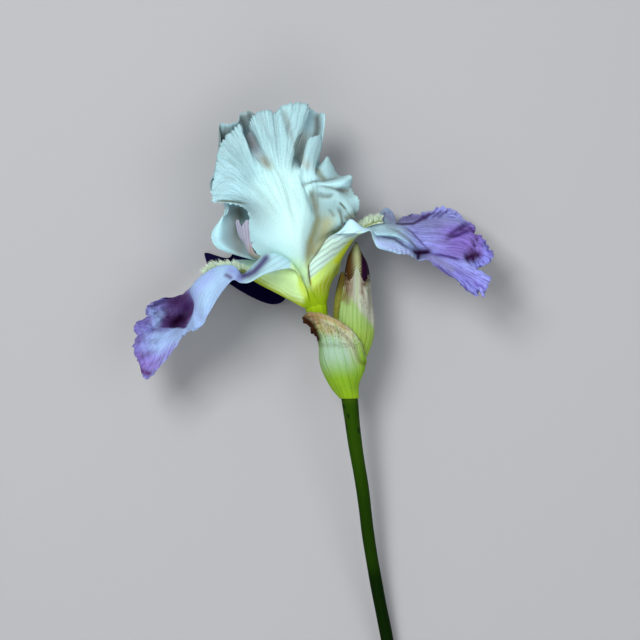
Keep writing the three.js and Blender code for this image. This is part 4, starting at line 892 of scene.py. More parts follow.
def paint_standard_front(s, t, grid, side):
    """Painted highlight round the midrib, painted shade grey in the deep folds and beige in the valley,
    yellow-green at the claw.
    """
    x, y = grid[..., 0], grid[..., 1]
    c = blend(plain(x, WHITE * (1.1, 1.08, 1.06)), WHITE * 1.15, rise(80, 66, y))
    # painted highlight round the midrib
    c = blend(c, HIGHLIGHT_WHITE * 0.96, mark(x, y, [(-17, 60), (-13, 50), (-10, 30)], 12.5))
    c = blend(c, WHITE * (1.0, 0.95, 0.88), 0.7 * rise(-4, 1, x) * rise(78, 74, y))
    c = lay(c, x, y, FRONT_MARKS)
    # painted shade, warm beige, on the slope beside the valley right of the midrib and in the valley itself
    beside = np.interp(-y, [-57, -52, -46, -40, -35, -29, -25], [-5.2, -4.0, -3.0, -5.6, -7.0, -7.4, -7.4])
    valley_side_shade = mark(x, y, [(3, 44), (1, 38), (-2, 31)], 4) * rise(-1.2, 1.4, x - beside)
    c = blend(c, SHADE_BEIGE * 1.35, 0.85 * valley_side_shade)
    valley_shade = blend(plain(x, SHADE_BEIGE), (0.24, 0.28, 0.22), rise(44, 50, y))
    c = blend(c, valley_shade, 0.9 * mark(x, y, FRONT_VALLEY, 1.9) * rise(-1.2, 1.0, x - beside))
    # painted shade inside the slot of the notch
    slot = np.interp(y, [66, 68, 71.8, 76, 79.5, 84.2, 86, 90], [-3, -5.2, -9.2, -12, -12.2, -10.2, -8, -6])
    inside = rise(-0.4, 0.4, x - slot) * rise(-6.7, -7.2, x) * rise(67.5, 69, y) * rise(90, 86, y)
    c = blend(c, (0.20, 0.27, 0.26), 0.95 * inside * rise(0.36, 0.34, t) * rise(0.02, 0.06, t))
    c = blend(c, (0.42, 0.33, 0.06), 0.4 * mark(x, y, [(-4.4, 36.5), (-3.2, 33.5), (-3.6, 31)], 0.8))
    c = blend(c, PALE_YELLOW * 1.25, 0.75 * rise(31, 21, y))
    c = blend(c, YELLOW * 1.2, rise(19, 11, y))
    c = blend(c, YELLOW_GREEN, rise(17, 10, y))
    dots = 0.55 + 0.45 * np.sin(4.2 * y)
    dotted = stroke(x, y, [(-12.8, 23), (-11, 20.5), (-8.8, 16), (-6.5, 11)], 0.55)
    c = blend(c, BROWN_LINE * 1.6, 0.85 * dots * dotted)
    # painted shade: the thin brown slit of the gap between the claw and the right fall's haft
    c = blend(c, BROWN_LINE, mark(x, y, [(-5.2, 25), (-5, 21), (-4, 15.5)], 0.45))
    # painted shade along the rolled lower edge of the left lobe
    c = blend(c, SHADE_BEIGE * 0.7, 0.8 * stroke(x, y, [(-49, 54), (-44.5, 54.5), (-39, 54.1), (-30, 52.8)], 0.5))
    beside_rib = stroke(x, y, FRONT_RIB, 0.9) * (1 - mark(x, y, FRONT_RIB, 0.3))
    return blend(c, WHITE * (0.95, 0.9, 0.82), 0.7 * beside_rib)


def paint_standard_back(s, t, grid, side):
    """Cool white with painted highlights on the rims and painted neutral grey shade inside the cups,
    yellow-green at the claw.
    """
    x, y = grid[..., 0], grid[..., 1]
    # painted shade, grey, over the top left of the back standards
    c = blend(plain(x, WHITE * 1.3), GREY * 1.2, 0.45 * rise(0.75, 0.85, s) * rise(-20, -30, x))
    return blend(lay(c, x, y, BACK_MARKS), YELLOW_GREEN, rise(0.3, 0.05, s))


def left_lobe(c, x, y, upper, lobe):
    """The left fall's lobe: paler in its middle, violet to its margin, a pocket on the upper side deeper
    violet under painted purple shade.
    """
    edge = distance(x, y, LEFT_LOBE_MARGIN)
    c = blend(c, LAVENDER * 0.92, 0.75 * lobe * rise(13, 5, edge))
    c = blend(c, LAVENDER * (0.7, 0.5, 0.66), 0.8 * lobe * rise(5.5, 1.5, edge))
    c = lay(c, x, y, LEFT_LOBE_MARKS, lobe)
    rays = 0.5 + 0.5 * np.sin(27 * np.arctan2(y + 3.5, x + 66) + 2 * hum(x / 9, 301))
    # the pocket: its deeper violet under painted shade, darkest towards its bottom
    hollow = lobe * upper * rise(-0.3, 0.3, y + 3.9 - 0.15 * hum(x / 6, 305))
    pit = hollow * rise(-74, -70, x + 0.3 * np.clip(3 - y, 0, 9)) * rise(14, 11, y)
    c = blend(c, (0.125, 0.068, 0.235), pit * (0.8 + 0.2 * rays))
    c = blend(c, (0.068, 0.024, 0.125), pit * mark(x, y, [(-66.5, 8.5), (-63.5, 10), (-61.5, 6)], 3.6))
    c = blend(c, (0.062, 0.018, 0.110), pit * rise(4.5, -0.5, y) * (0.7 + 0.3 * rays))
    c = lay(c, x, y, LEFT_PIT_MARKS, pit)
    return blend(c, (0.30, 0.22, 0.62), 0.7 * lobe * mark(x, y, [(-80, -20), (-77, -22), (-74, -21)], 1.6))


def left_haft(x, y, t):
    """The left fall's haft: pale yellow with stripes, deeper towards its low margin and at the tube."""
    low = distance(x, y, [(-31, 17.2), (-23, 12.1), (-13.8, 7.5), (-6.9, 4.6)])
    stripes = rise(-0.3, 0.8, np.sin(3.6 * low + 1.5 * hum(x / 12, 303)))
    c = blend(plain(x, PALE_YELLOW * 1.25), YELLOW, rise(4.8, 1.2, low) + 0.4 * stripes * rise(9, 3, low))
    c = blend(c, WHITE * 1.3, 0.6 * rise(-16, -24, x) * rise(6.5, 9, low))
    c = blend(c, PALE_YELLOW * 1.02, 0.9 * mark(x, y, [(-20, 19), (-16, 17.5), (-13, 16)], 3))
    return blend(c, YELLOW * 1.25, 0.8 * rise(-12, -8.5, x - 0.35 * (y - 18)) * rise(0.3, 0.7, t))


def paint_fall_left(s, t, grid, side):
    """Haft striped yellow outside, flap white-lavender with painted violet shade in its hollow, pale blue
    band, and a lobe that runs from pale blue in the middle to violet at its margin, with a pocket on its
    upper side that is deeper violet under painted purple shade."""
    x, y, z = np.moveaxis(grid, -1, 0)
    upper = rise(-0.5, -0.1, side * normals(grid)[..., 2])
    c = blend(plain(x, PALE_BLUE * 0.85), WHITE * 1.15, 0.35 * mark(x, y, [(-44, 21), (-52, 10)], 6))
    c = blend(c, LAVENDER * 1.3, 0.4 * mark(x, y, [(-58, 4), (-57, 12), (-50, 20)], 2.2))
    bend = 57.7 + 0.5 * np.clip(3 - y, 0, 8) + 0.28 * np.clip(y - 5, 0, 9)
    lobe = rise(0.9 + 8 * rise(52, 40, z), -0.9, x + bend) * rise(0.55, 0.6, s)
    c = lay(left_lobe(c, x, y, upper, lobe), x, y, LEFT_TIP_MARKS)
    # painted shade on the far margin where it curls down behind the lobe
    rear = rise(0.5, 0.6, s) * rise(-0.5, -0.7, t) * rise(-68, -65, x) * rise(8.5, 10, y)
    c = blend(c, DEEP_VIOLET * 0.7, rear * rise(20, 30, z))
    flap = blend(plain(x, WHITE * 1.12), GREY_LILAC, 0.35 * rise(0.3, 0.9, np.sin(x * 1.3 - y * 2.1)))
    c = lay(blend(c, flap, rise(-38, -32, x)), x, y, LEFT_FLAP_MARKS)
    haft = rise(0.42, 0.3, s) * np.maximum(rise(0.66, 0.5, t), rise(-14.5, -12, x))
    c = blend(c, left_haft(x, y, t), haft)
    return blend(c, YELLOW_GREEN, rise(7.5, 4.5, np.hypot(x + 2, y - 6.5)))


def right_haft(c, x, y, s, t):
    """The right fall's haft laid over its blade: near zone white with grey stripes, outside yellow."""
    base = rise(0.475, 0.41, s)
    over = y - 23 - 0.93 * x
    c = blend(c, blend(plain(x, (0.56, 0.79, 0.68)), np.array([0.53, 0.80, 0.95]), rise(35, 42, y)), base)
    bands = rise(0.2, 0.95, np.sin(2.5 * (y - 0.75 * x + 0.012 * x * x) + 0.7 * hum(x / 9, 201)))
    c = blend(c, GREY_LILAC * 0.8, 0.55 * base * bands * rise(42, 39.5, y))
    yellow = blend(plain(x, (0.56, 0.78, 0.17)), (0.34, 0.42, 0.02), rise(-3, -7.5, over))
    yellow = blend(yellow, PALE_YELLOW, 0.3 * rise(0.2, 0.9, np.sin(t * 40 + s * 20)))
    c = blend(c, yellow, base * (1 - rise(-1.2, 1.2, over)) * rise(19.5, 17, x))
    c = blend(c, (0.62, 0.74, 0.02), 0.95 * base * mark(x, y, [(7.5, 27), (11.5, 32.6), (14.3, 36)], 1.4))
    c = blend(c, WHITE * 1.2, rise(-0.93, -0.97, t) * mark(x, y, [(8.8, 24.5), (7, 20)], 2.5))
    # painted shade: the thin brown slit of the gap between the haft and the front standard's claw
    c = blend(c, BROWN_LINE, stroke(x, y, [(-5.3, 26), (-5.2, 22), (-4.6, 18), (-3.8, 14.5)], 0.55))
    return blend(c, YELLOW_GREEN, rise(16, 9, y) * base)


def paint_fall_right(s, t, grid, side):
    """Haft yellow outside with a grey-striped white near zone, blade pale grey-blue to violet, painted shade
    in folds and pockets.
    """
    x, y = grid[..., 0], grid[..., 1]
    c = blend(plain(x, (0.42, 0.66, 0.74)), LAVENDER * 1.25, rise(34, 46, x + 0.5 * (y - 38)))
    c = blend(c, (0.28, 0.20, 0.62), rise(46, 64, x) * rise(25, 31, y) * rise(48, 42, y))
    c = lay(c, x, y, RIGHT_TOP_MARKS)
    near = mark(x, y, [(26.5, 35), (32, 34), (38, 32), (41, 31)], 2.8) * rise(0.3, 0.5, t)
    c = blend(c, (0.48, 0.62, 1.0), near)
    c = blend(c, VIOLET * 0.8, 0.55 * near * rise(0.4, 0.9, np.sin(x * 3.1 + y * 0.8)) * rise(33.5, 31, y))
    c = blend(c, WHITE * 1.4, 0.7 * mark(x, y, [(24.2, 37), (24.8, 34.5), (27, 32)], 0.7) * rise(0.3, 0.5, t))
    return right_haft(lay(c, x, y, RIGHT_BLADE_MARKS), x, y, s, t)


def paint_fall_back(s, t, grid, side):
    """Blue-violet painted nearly black, as painted shade where it lies under the flower; yellow-green at the
    claw.
    """
    c = blend(plain(s, SHADED_VIOLET), VIOLET, 0.03 * rise(0.7, 1, s))
    return blend(c, YELLOW_GREEN, rise(0.25, 0.08, s))


def paint_style(s, t, grid, side):
    """Lilac-grey crest on a cream strap."""
    c = blend(plain(s, CREAM * 0.8), (0.54, 0.54, 0.66), rise(0.45, 0.75, s))
    c = blend(c, (0.30, 0.24, 0.38), 0.55 * rise(0.2, 0.9, np.sin(t * 19 + 1)) * rise(0.4, 0.7, s))
    c = blend(c, (0.40, 0.24, 0.10), 0.5 * mark(grid[..., 0], grid[..., 1], [(-31.5, 33), (-31, 28)], 1.6))
    return blend(c, YELLOW_GREEN, rise(0.25, 0.05, s))


def paint_stamen(a, u, x, y):
    """Cream filament, olive anther."""
    return blend(plain(x, CREAM), (0.55, 0.5, 0.25), rise(0.5, 0.6, u))


def paint_outer(s, t, grid, side):
    """Green to pale green, tan and withered to its waved top, dark brown at its curled tip."""
    x, y = grid[..., 0], grid[..., 1]
    belly = rise(-28, -15, y) * rise(12, 4, np.abs(x - 8))
    c = blend(plain(x, GREEN * (0.95, 1.0, 1.5)), PALE_GREEN, 0.9 * belly)
    top = distance(x, y, OUTER_TOP)
    c = blend(c, GREEN * 1.1, rise(-30, -35, y))
    c = blend(c, TAN * (1.38, 1.62, 2.3), 0.9 * rise(9.5, 3, top) * rise(20, 12, x))
    c = blend(c, TAN * (1.1, 0.85, 0.6), 0.9 * rise(3.0, 1.2, top) * rise(17, 9, x) * rise(-6, 0, x))
    c = blend(c, BROWN, 0.4 * np.exp(-((top - 4) / 1.0) ** 2) * rise(-2, 3, x))
    c = blend(c, PAPERY, 0.4 * rise(1.6, 0.6, top) * rise(-3, 2, x))
    c = blend(c, BROWN, 0.4 * rise(0.5, 0.0, top))
    band = np.exp(-((y + 11.5) / 1.0) ** 2) * rise(17, 12, x) * (0.6 + 0.4 * hum(x * 0.7, 65))
    c = lay(blend(c, BROWN, 0.35 * band), x, y, OUTER_MARKS)
    streaks = rise(-0.5, 0.6, np.sin(2.2 * x + 2.9 * y))
    tip = mark(x, y, [(-7, -0.5), (-5.4, -1), (-4, -3), (-2.5, -6)], 1.4)
    return blend(c, BROWN * 0.5, 0.95 * streaks * tip)


def paint_bud_front(s, t, grid, side):
    """Green below, papery above with brown withered streaks."""
    x, y = grid[..., 0], grid[..., 1]
    above = y - (15 - 1.3 * (x - 10))
    c = blend(plain(x, (0.30, 0.46, 0.07)), PALE_GREEN, 0.3 * rise(-10, 5, y))
    c = blend(c, PAPERY * (1.08 + 0.14 * rise(17, 20, x))[..., None], 0.95 * rise(-1.5, 2.5, above))
    return lay(c, x, y, BUD_BRACT_MARKS)


def paint_bud_back(s, t, grid, side):
    """Green, tan and then brown to its tip."""
    y = grid[..., 1]
    c = blend(plain(y, GREEN * (1.0, 0.85, 0.7)), TAN * (0.75, 0.85, 0.3), rise(-8, 6, y))
    return blend(c, BROWN, 0.7 * rise(9, 18, y))


def paint_bud(a, u, x, y):
    """Dark brown with a pale rib in the middle and a purple side."""
    rib = mark(x, y, [(16.9, 34), (17.4, 20), (16.5, 5)], 1.7)
    c = blend(plain(x, (0.085, 0.035, 0.008)), (0.50, 0.58, 0.33), rib)
    c = blend(c, (0.022, 0.001, 0.024), rise(1.6, 2.6, x - 16.9) * rise(34, 28, y))
    return blend(c, (0.2, 0.17, 0.05), 0.5 * rise(18, 8, y))


def paint_tube(a, u, x, y):
    """Green, yellower to the mouth."""
    return blend(plain(x, (0.24, 0.40, 0.01)), YELLOW_GREEN, rise(-5, 3, y))


def paint_stem(a, u, x, y):
    """Dark green, with painted shade that darkens it downwards and a painted shadow edge low down; lighter at
    the top with short dark flecks; pale on the cut.
    """
    # painted shade: darker downwards as the light fades, then a painted shadow edge
    c = blend(plain(x, (0.020, 0.062, 0.0015)), (0.010, 0.034, 0.0010), rise(-55, -95, y))
    c = blend(c, (0.003, 0.014, 0.0008), rise(-112, -122, y))
    c = blend(c, (0.06, 0.12, 0.006), 0.6 * rise(-40, -35, y))
    dots = rise(0.1, 0.6, np.sin(5.5 * y)) * mark(x, y, [(16.6, -36), (16.9, -40), (17.3, -45)], 0.6)
    dabs = np.max([mark(x, y, path, 0.45) for path in STEM_FLECKS], axis=0)
    c = blend(c, (0.003, 0.012, 0.004), 0.95 * np.maximum(dots, dabs) * rise(0, 0.3, np.sin(a)))
    return blend(c, (0.40, 0.50, 0.2), rise(0.0, -0.008, u))


class Value:
    """A number socket in shader maths: expressions on it add Math nodes to its material."""

    def __init__(self, maker, socket):
        self.maker = maker
        self.socket = socket

    def __add__(self, other):
        return self.maker.math("ADD", self, other)

    def __radd__(self, other):
        return self.maker.math("ADD", other, self)

    def __sub__(self, other):
        return self.maker.math("SUBTRACT", self, other)

    def __rsub__(self, other):
        return self.maker.math("SUBTRACT", other, self)

    def __mul__(self, other):
        return self.maker.math("MULTIPLY", self, other)

    def __rmul__(self, other):
        return self.maker.math("MULTIPLY", other, self)


class Made:
    """A node whose outputs are read by name or number, as Values."""

    def __init__(self, maker, node):
        self.maker = maker
        self.node = node

    def __getitem__(self, key):
        return Value(self.maker, self.node.outputs[key])


class Maker:
    """Builds one material; node() adds a node with its settings and the values or links of its sockets."""

    def __init__(self, name):
        self.material = bpy.data.materials.new(name)
        self.material.use_nodes = True
        self.tree = self.material.node_tree
        self.tree.nodes.clear()

    def node(self, kind, settings=None, inputs=None):
        """A new node of a kind, as its outputs."""
        made = self.tree.nodes.new(kind)
        for key, value in (settings or {}).items():
            setattr(made, key, value)
        for key, value in (inputs or {}).items():
            if isinstance(value, Value):
                self.tree.links.new(value.socket, made.inputs[key])
            else:
                made.inputs[key].default_value = value
        return Made(self, made)

    def math(self, operation, *operands):
        """The result of a Math node on one or two operands."""
        return self.node("ShaderNodeMath", {"operation": operation}, dict(enumerate(operands)))[0]

    def place(self):
        """Object coordinates."""
        return self.node("ShaderNodeTexCoord")["Object"]

    def pigment(self):
        """The colour that is painted on the piece's points, and its alpha."""
        made = self.node("ShaderNodeAttribute", {"attribute_name": "pigment"})
        return made["Color"], made["Alpha"]

    def own_map(self):
        """The piece's UV map, its share across or round the piece and its share along it."""
        uv = self.node("ShaderNodeUVMap", {"uv_map": "UVMap"})["UV"]
        parts = self.node("ShaderNodeSeparateXYZ", None, {0: uv})
        return uv, parts[0], parts[1]

    def mix(self, share, first, second, how="MIX"):
        """Colour mixed from two by a share."""
        def colour(value):
            """A colour for a socket, opaque where it is given as three numbers."""
            return value if isinstance(value, Value) else (*value, 1)
        return self.node("ShaderNodeMix", {"data_type": "RGBA", "blend_type": how, "clamp_factor": True},
                         {"Factor": share, 6: colour(first), 7: colour(second)})[2]

    def colour_times(self, share, colour, multiplier):
        """A colour multiplied by another colour, by a share."""
        return self.mix(share, colour, multiplier, "MULTIPLY")

    def noise(self, vector, scale, detail=3.0, roughness=0.55):
        """Smooth noise from 0 to 1 over a vector."""
        return self.node("ShaderNodeTexNoise", {"noise_dimensions": "3D"},
                         {"Vector": vector, "Scale": scale, "Detail": detail, "Roughness": roughness})["Fac"]

    def map_noise(self, uv, across, up, detail=3.0, roughness=0.55):
        """Smooth noise over a UV map, with a scale across and one along."""
        stretched = self.node("ShaderNodeMapping", {"vector_type": "POINT"},
                              {"Vector": uv, "Scale": (across, up, 1.0)})[0]
        return self.noise(stretched, 1.0, detail, roughness)

    def band(self, value, low, high):
        """Smooth step of a value between two bounds."""
        return self.node("ShaderNodeMapRange", {"interpolation_type": "SMOOTHSTEP"},
                         {0: value, 1: low, 2: high, 3: 0.0, 4: 1.0})[0]

    def finish(self, colour, roughness, height, depth, constants):
        """Principled surface with a bump; constants are set on the shader's own sockets."""
        bump = self.node("ShaderNodeBump", None, {"Height": height, "Distance": depth, "Strength": 1.0})[0]
        inputs = {"Base Color": colour, "Roughness": roughness, "Normal": bump, **constants}
        shader = self.node("ShaderNodeBsdfPrincipled", None, inputs)
        self.node("ShaderNodeOutputMaterial", None, {"Surface": shader[0]})
        return self.material


def light_through(weight, radius, scale, gloss):
    """The constants of a surface that lets some light through, and its gloss."""
    return {"Subsurface Weight": weight, "Subsurface Radius": radius, "Subsurface Scale": scale,
            "Specular IOR Level": gloss}


# Light that petals, bracts and the bud let through
PETAL_LIGHT = light_through(0.35, (1.0, 0.95, 1.0), 0.0004, 0.04)
BRACT_LIGHT = light_through(0.15, (0.6, 1.0, 0.4), 0.001, 0.08)
BUD_LIGHT = light_through(0.1, (1.0, 0.7, 0.5), 0.0005, 0.08)


def petal_material(name, veins, vein_colour, vein_share, mottle_colour, mottle_share, relief):
    """Petal: its pigment, with branching veins from base to margin, fine mottling and a pebbled surface with
    painted glints on the pebbles and painted shade between them.
    """
    m = Maker(name)
    pigment, strength = m.pigment()
    where = m.place()
    uv, across, up = m.own_map()
    middle = across * 2.0 - 1.0
    fan = across - (up - 0.5) * 0.45 * middle * m.math("ABSOLUTE", middle)
    turn = (fan + m.noise(where, 110.0) * 0.022) * (TURN * veins)
    few = m.band(m.math("COSINE", turn), 0.58, 0.95)
    many = m.band(m.math("COSINE", turn * 2.0 + 1.0), 0.62, 0.95)
    vein = m.math("MINIMUM", few + many * m.band(up, 0.35, 0.8) * 0.7, 1.0) * strength
    broken = m.band(m.noise(where, 250.0, 2.0), 0.3, 0.6)
    colour = m.colour_times(vein * broken * vein_share, pigment, vein_colour)
    flecks = m.map_noise(uv, 60.0, 26.0, 4.0, 0.6)
    spots = m.band(flecks, 0.48, 0.68) * m.band(m.noise(where, 160.0), 0.35, 0.7)
    colour = m.colour_times(spots * mottle_share * strength, colour, mottle_colour)
    pebbles = m.noise(where, 1300.0, 3.0, 0.75)
    grain = strength * 0.6 + 0.4
    # painted light on the pebbles: lighter on their tops as glints, darker between them as shade
    colour = m.colour_times(m.band(pebbles, 0.55, 0.7) * grain, colour, (1.14, 1.12, 1.10))
    colour = m.colour_times(m.band(pebbles, 0.47, 0.33) * grain, colour, (0.84, 0.87, 0.90))
    height = vein * relief + m.map_noise(uv, 70.0, 14.0) * 0.7 + pebbles * 0.8
    rough = 0.45 + pebbles * 0.2 + vein * 0.08
    return m.finish(colour, rough, height, 0.00025, PETAL_LIGHT)


def beard_material():
    """Hairs: olive at the root, cream at half their length and nearly white at the tip."""
    m = Maker("beard hairs")
    pigment, _ = m.pigment()
    _, _, high = m.own_map()
    grain = m.noise(m.place(), 900.0, 2.0)
    colour = m.colour_times(m.band(high, 0.55, 0.0), pigment, (0.45, 0.42, 0.22))
    colour = m.mix(high * high * 0.7, colour, (0.85, 0.98, 0.85))
    return m.finish(colour, 0.5 + grain * 0.2, grain, 0.00005, PETAL_LIGHT)


def stamen_material():
    """Cream filament and pollen-dusted anther."""
    m = Maker("stamen")
    pigment, _ = m.pigment()
    dust = m.noise(m.place(), 2500.0)
    colour = m.colour_times(m.band(dust, 0.4, 0.7) * 0.4, pigment, (0.75, 0.62, 0.3))
    return m.finish(colour, 0.7 + dust * 0.2, dust, 0.0001, {"Specular IOR Level": 0.25})


def bract_material(name, veins, dryness):
    """Bract: green with fine parallel veins and light fibres; brown dashes where its alpha asks for them."""
    m = Maker(name)
    pigment, dry = m.pigment()
    uv, across, _ = m.own_map()
    wander = m.map_noise(uv, 5.0, 2.0, 2.0)
    turn = (across + wander * 0.09) * (TURN * veins)
    vein = m.band(m.math("COSINE", turn), 0.3, 1.0) * m.band(m.map_noise(uv, 16.0, 3.0, 2.0), 0.3, 0.65)
    thread = m.band(m.math("COSINE", turn * 2.7 + wander * 4.0), 0.35, 1.0)
    colour = m.colour_times(vein * 0.55, pigment, (0.55, 0.78, 0.3))
    colour = m.colour_times(thread * 0.8, colour, (1.14, 1.10, 1.06))
    streak = m.map_noise(uv, 90.0, 7.0, 4.0, 0.65)
    colour = m.colour_times(m.band(streak, 0.5, 0.75) * dryness, colour, (0.70, 0.62, 0.42))
    dash = m.band(m.map_noise(uv, 70.0, 34.0, 3.0, 0.7), 0.52, 0.66)
    colour = m.colour_times(dash * dry, colour, (0.42, 0.24, 0.10))
    fleck = m.band(m.noise(m.place(), 900.0, 2.0), 0.68, 0.74)
    colour = m.colour_times(fleck * 0.55, colour, (0.35, 0.22, 0.1))
    height = vein * 0.6 + thread * 0.25 + streak * 0.5
    return m.finish(colour, 0.45 + streak * 0.25, height, 0.00025, BRACT_LIGHT)


def stem_material(name, ridges):
    """Smooth skin with faint lengthwise ridges, a waxy bloom in patches and tiny pale pores."""
    m = Maker(name)
    pigment, _ = m.pigment()
    where = m.place()
    uv, across, _ = m.own_map()
    ridge = m.math("COSINE", across * (TURN * ridges)) * 0.5 + 0.5
    streak = m.map_noise(uv, 30.0, 20.0, 4.0, 0.6)
    wax = m.band(m.noise(where, 45.0), 0.45, 0.75)
    colour = m.colour_times(ridge * 0.22, pigment, (0.7, 0.8, 0.5))
    colour = m.colour_times(m.band(streak, 0.45, 0.75) * 0.35, colour, (0.6, 0.72, 0.35))
    pores = m.band(m.noise(where, 1800.0, 1.0), 0.7, 0.78)
    colour = m.colour_times(pores * 0.35, colour, (0.35, 0.45, 0.2))
    rough = 0.42 + wax * 0.2 + streak * 0.1
    return m.finish(colour, rough, ridge * 0.5 + streak * 0.3, 0.00018, {"Specular IOR Level": 0.02})


def bud_material():
    """Rolled petals: slanting ribs over the pigment, silky."""
    m = Maker("bud petals")
    pigment, _ = m.pigment()
    where = m.place()
    _, across, up = m.own_map()
    slant = (across * 15.0 + up * 32.0 + m.noise(where, 150.0) * 0.9) * TURN
    rib = m.band(m.math("COSINE", slant), -0.3, 0.9)
    blotch = m.band(m.noise(where, 330.0), 0.45, 0.7)
    colour = m.colour_times(rib * 0.85, pigment, (0.42, 0.32, 0.22))
    colour = m.colour_times(blotch * 0.3, colour, (0.7, 0.6, 0.35))
    return m.finish(colour, 0.45 + rib * 0.15, rib * 0.8 + blotch * 0.2, 0.0004, BUD_LIGHT)


def thin(s, t):
    """Thickness of a petal: slim where it leaves the tube, thick at the claw, thin over the blade and thinner
    at the margin."""
    edge = np.maximum(s, np.abs(t))
    return (PETAL_MIDDLE + (CLAW_THICKNESS - PETAL_MIDDLE) * rise(0.2, 0.04, s)
            - (PETAL_MIDDLE - PETAL_MARGIN) * rise(0.8, 1, edge) * rise(0.1, 0.3, s)
            - BASE_SLIMMING * rise(0.03, 0, s))


def petal(name, grid, material, slot, paint, lines=1.0):
    """A petal's piece from its finished grid; it stands for the CAD node of the same name. lines is the
    strength of its veins, one for all or one for each point."""
    strength = lines + 0 * grid[..., 0]
    sheet(grid, thin, paint, PETAL_SHADE, strength).piece("petal_" + name, material, name, slot)


def beard(name, grid, start, end, upper, width, length, count, seed, material, tilt=(0, 0, 0)):
    """Beard over the midrib of a fall: a slim ridge with fine hairs in tufts, longest at its middle, that
    stand off the fall's upper face and lean towards its tip."""
    up = upper * normals(grid)

    def spot(f, w):
        """Place and upper normal at a share f of the beard's length and w (-1 to 1) across it."""
        s = start + (end - start) * f
        left, right = on_sheet(grid, s, 0 * s - 0.05), on_sheet(grid, s, 0 * s + 0.05)
        reach = np.linalg.norm(right - left, axis=-1) / 0.1
        t = w * width * np.sqrt(np.maximum(1 - (2 * f - 1) ** 4, 0.04)) / reach
        return on_sheet(grid, s, t), on_sheet(up, s, t)

    f, w = np.meshgrid(np.linspace(0, 1, 40), np.linspace(-1, 1, 9), indexing="ij")
    at, face = spot(f, w)
    # painted shade: the pad under the hairs is dark so that the gaps between them look shaded
    dark = CREAM * (0.45, 0.42, 0.2)
    ridge = at + BEARD_LIFT * face
    pad = sheet(ridge, lambda s, t: 0.9 - 0.25 * t * t, lambda s, t, grid, side: plain(s, dark))
    rng = np.random.default_rng(seed)
    tufts = count // HAIRS_A_TUFT
    tuft = rng.integers(0, tufts, count)
    middle_f, middle_w = rng.uniform(0.02, 0.98, tufts)[tuft], rng.uniform(-1, 1, tufts)[tuft]
    f = np.clip(middle_f + 0.018 * rng.normal(size=count), 0, 1)
    w = np.clip(middle_w + 0.2 * rng.normal(size=count), -1, 1)
    at, face = spot(f, w)
    ahead = unit(spot(np.minimum(f + 0.03, 1), w)[0] - spot(np.maximum(f - 0.03, 0), w)[0])
    out = np.cross(face, ahead) * np.sign(w)[:, None]
    lean = 0.24 * rng.normal(size=(tufts, 3))[tuft] + 0.07 * rng.normal(size=(count, 3))
    toward = unit(face + 0.35 * ahead + 0.3 * np.abs(w)[:, None] * out + lean + tilt)
    size = length * rng.uniform(0.75, 1, count) * (0.35 + 0.65 * np.sin(0.35 + 2.3 * f)) * (1 - 0.25 * w * w)
    size *= rng.uniform(0.75, 1.1, tufts)[tuft]
    roots = at + (BEARD_LIFT + 0.1) * face
    tips = roots + size[:, None] * toward + 0.35 * (spot(middle_f, middle_w)[0] - at)
    bow = -0.12 * size[:, None] * ahead + 0.03 * size[:, None] * rng.normal(size=(count, 3))
    shade = rng.uniform(0.75, 1.25, tufts)[tuft][:, None] * CREAM
    fur = hairs(roots, tips, bow, HAIR_RADIUS, 4, 4, shade)
    pad.joined(fur).piece("hairs_" + name, material, name, "beard")


def build_standard_front(white):
    """The front standard: folds and two sizes of frill, which are weaker to the right of its slot."""
    grid = soften(loft(STANDARD_FRONT, rows=120, columns=356), passes=14)
    grid = pucker(grid, depth=0.12, count=9, seed=7, start=0.6)
    grid = flutter(crease(grid, 1, STANDARD_FRONT_FOLDS), depth=0.8, count=9, seed=3)
    x, y = grid[..., 0], grid[..., 1]
    lively = 1 - 0.75 * rise(-9, -6.5, x) * rise(89, 85, y) * rise(60, 64, y)
    frilled = frill(grid, pitch=3.6, depth=1.3, swell=0.5, seed=5)
    frilled = frill(frilled, pitch=2.2, depth=1.3, swell=0.2, seed=9, reach=0.05)
    grid = grid + lively[..., None] * (frilled - grid)
    s, _ = shares(grid)
    lines = 0.15 + 0.85 * rise(0.55, 0.8, s) * (1 - 0.85 * rise(-9, -6, grid[..., 0]))
    petal("standard_front", grid, white, "standard", paint_standard_front, lines)


def build_standards_back(white):
    """The two back standards, less frilled."""
    left = soften(loft(STANDARD_BACK_LEFT, rows=100, columns=110), passes=30)
    left = frill(flutter(left, depth=0.9, count=8, seed=13), pitch=3.0, depth=0.6, swell=0.4, seed=15)
    petal("standard_back_left", left, white, "standard", paint_standard_back, 0.6)
    right = soften(loft(STANDARD_BACK_RIGHT, rows=100, columns=90), passes=30)
    right = frill(flutter(right, depth=0.7, count=7, seed=23), pitch=3.0, depth=0.5, swell=0.4, seed=25)
    petal("standard_back_right", right, white, "standard", paint_standard_back, 0.6)


def build_fall_left(violet):
    """The left fall: folds and a crumpled place on its lobe. Returns its grid."""
    grid = crease(soften(loft(FALL_LEFT, rows=160, columns=150), passes=12), -1, FALL_LEFT_FOLDS)
    grid = crumple(grid, [([(-78, 4), (-82, -8), (-79, -19)], 6.5)], depth=0.32, pitch=3.4, seed=39)
    grid = flutter(grid, depth=0.6, count=9, seed=33)
    grid = frill(grid, pitch=3.6, depth=1.5, swell=1.2, seed=35, start=0.8)
    s, _ = shares(grid)
    lines = 0.4 * rise(0.35, 0.5, s) + 0.25 * rise(-58, -64, grid[..., 0])
    petal("fall_left", grid, violet, "fall", paint_fall_left, lines)
    return grid


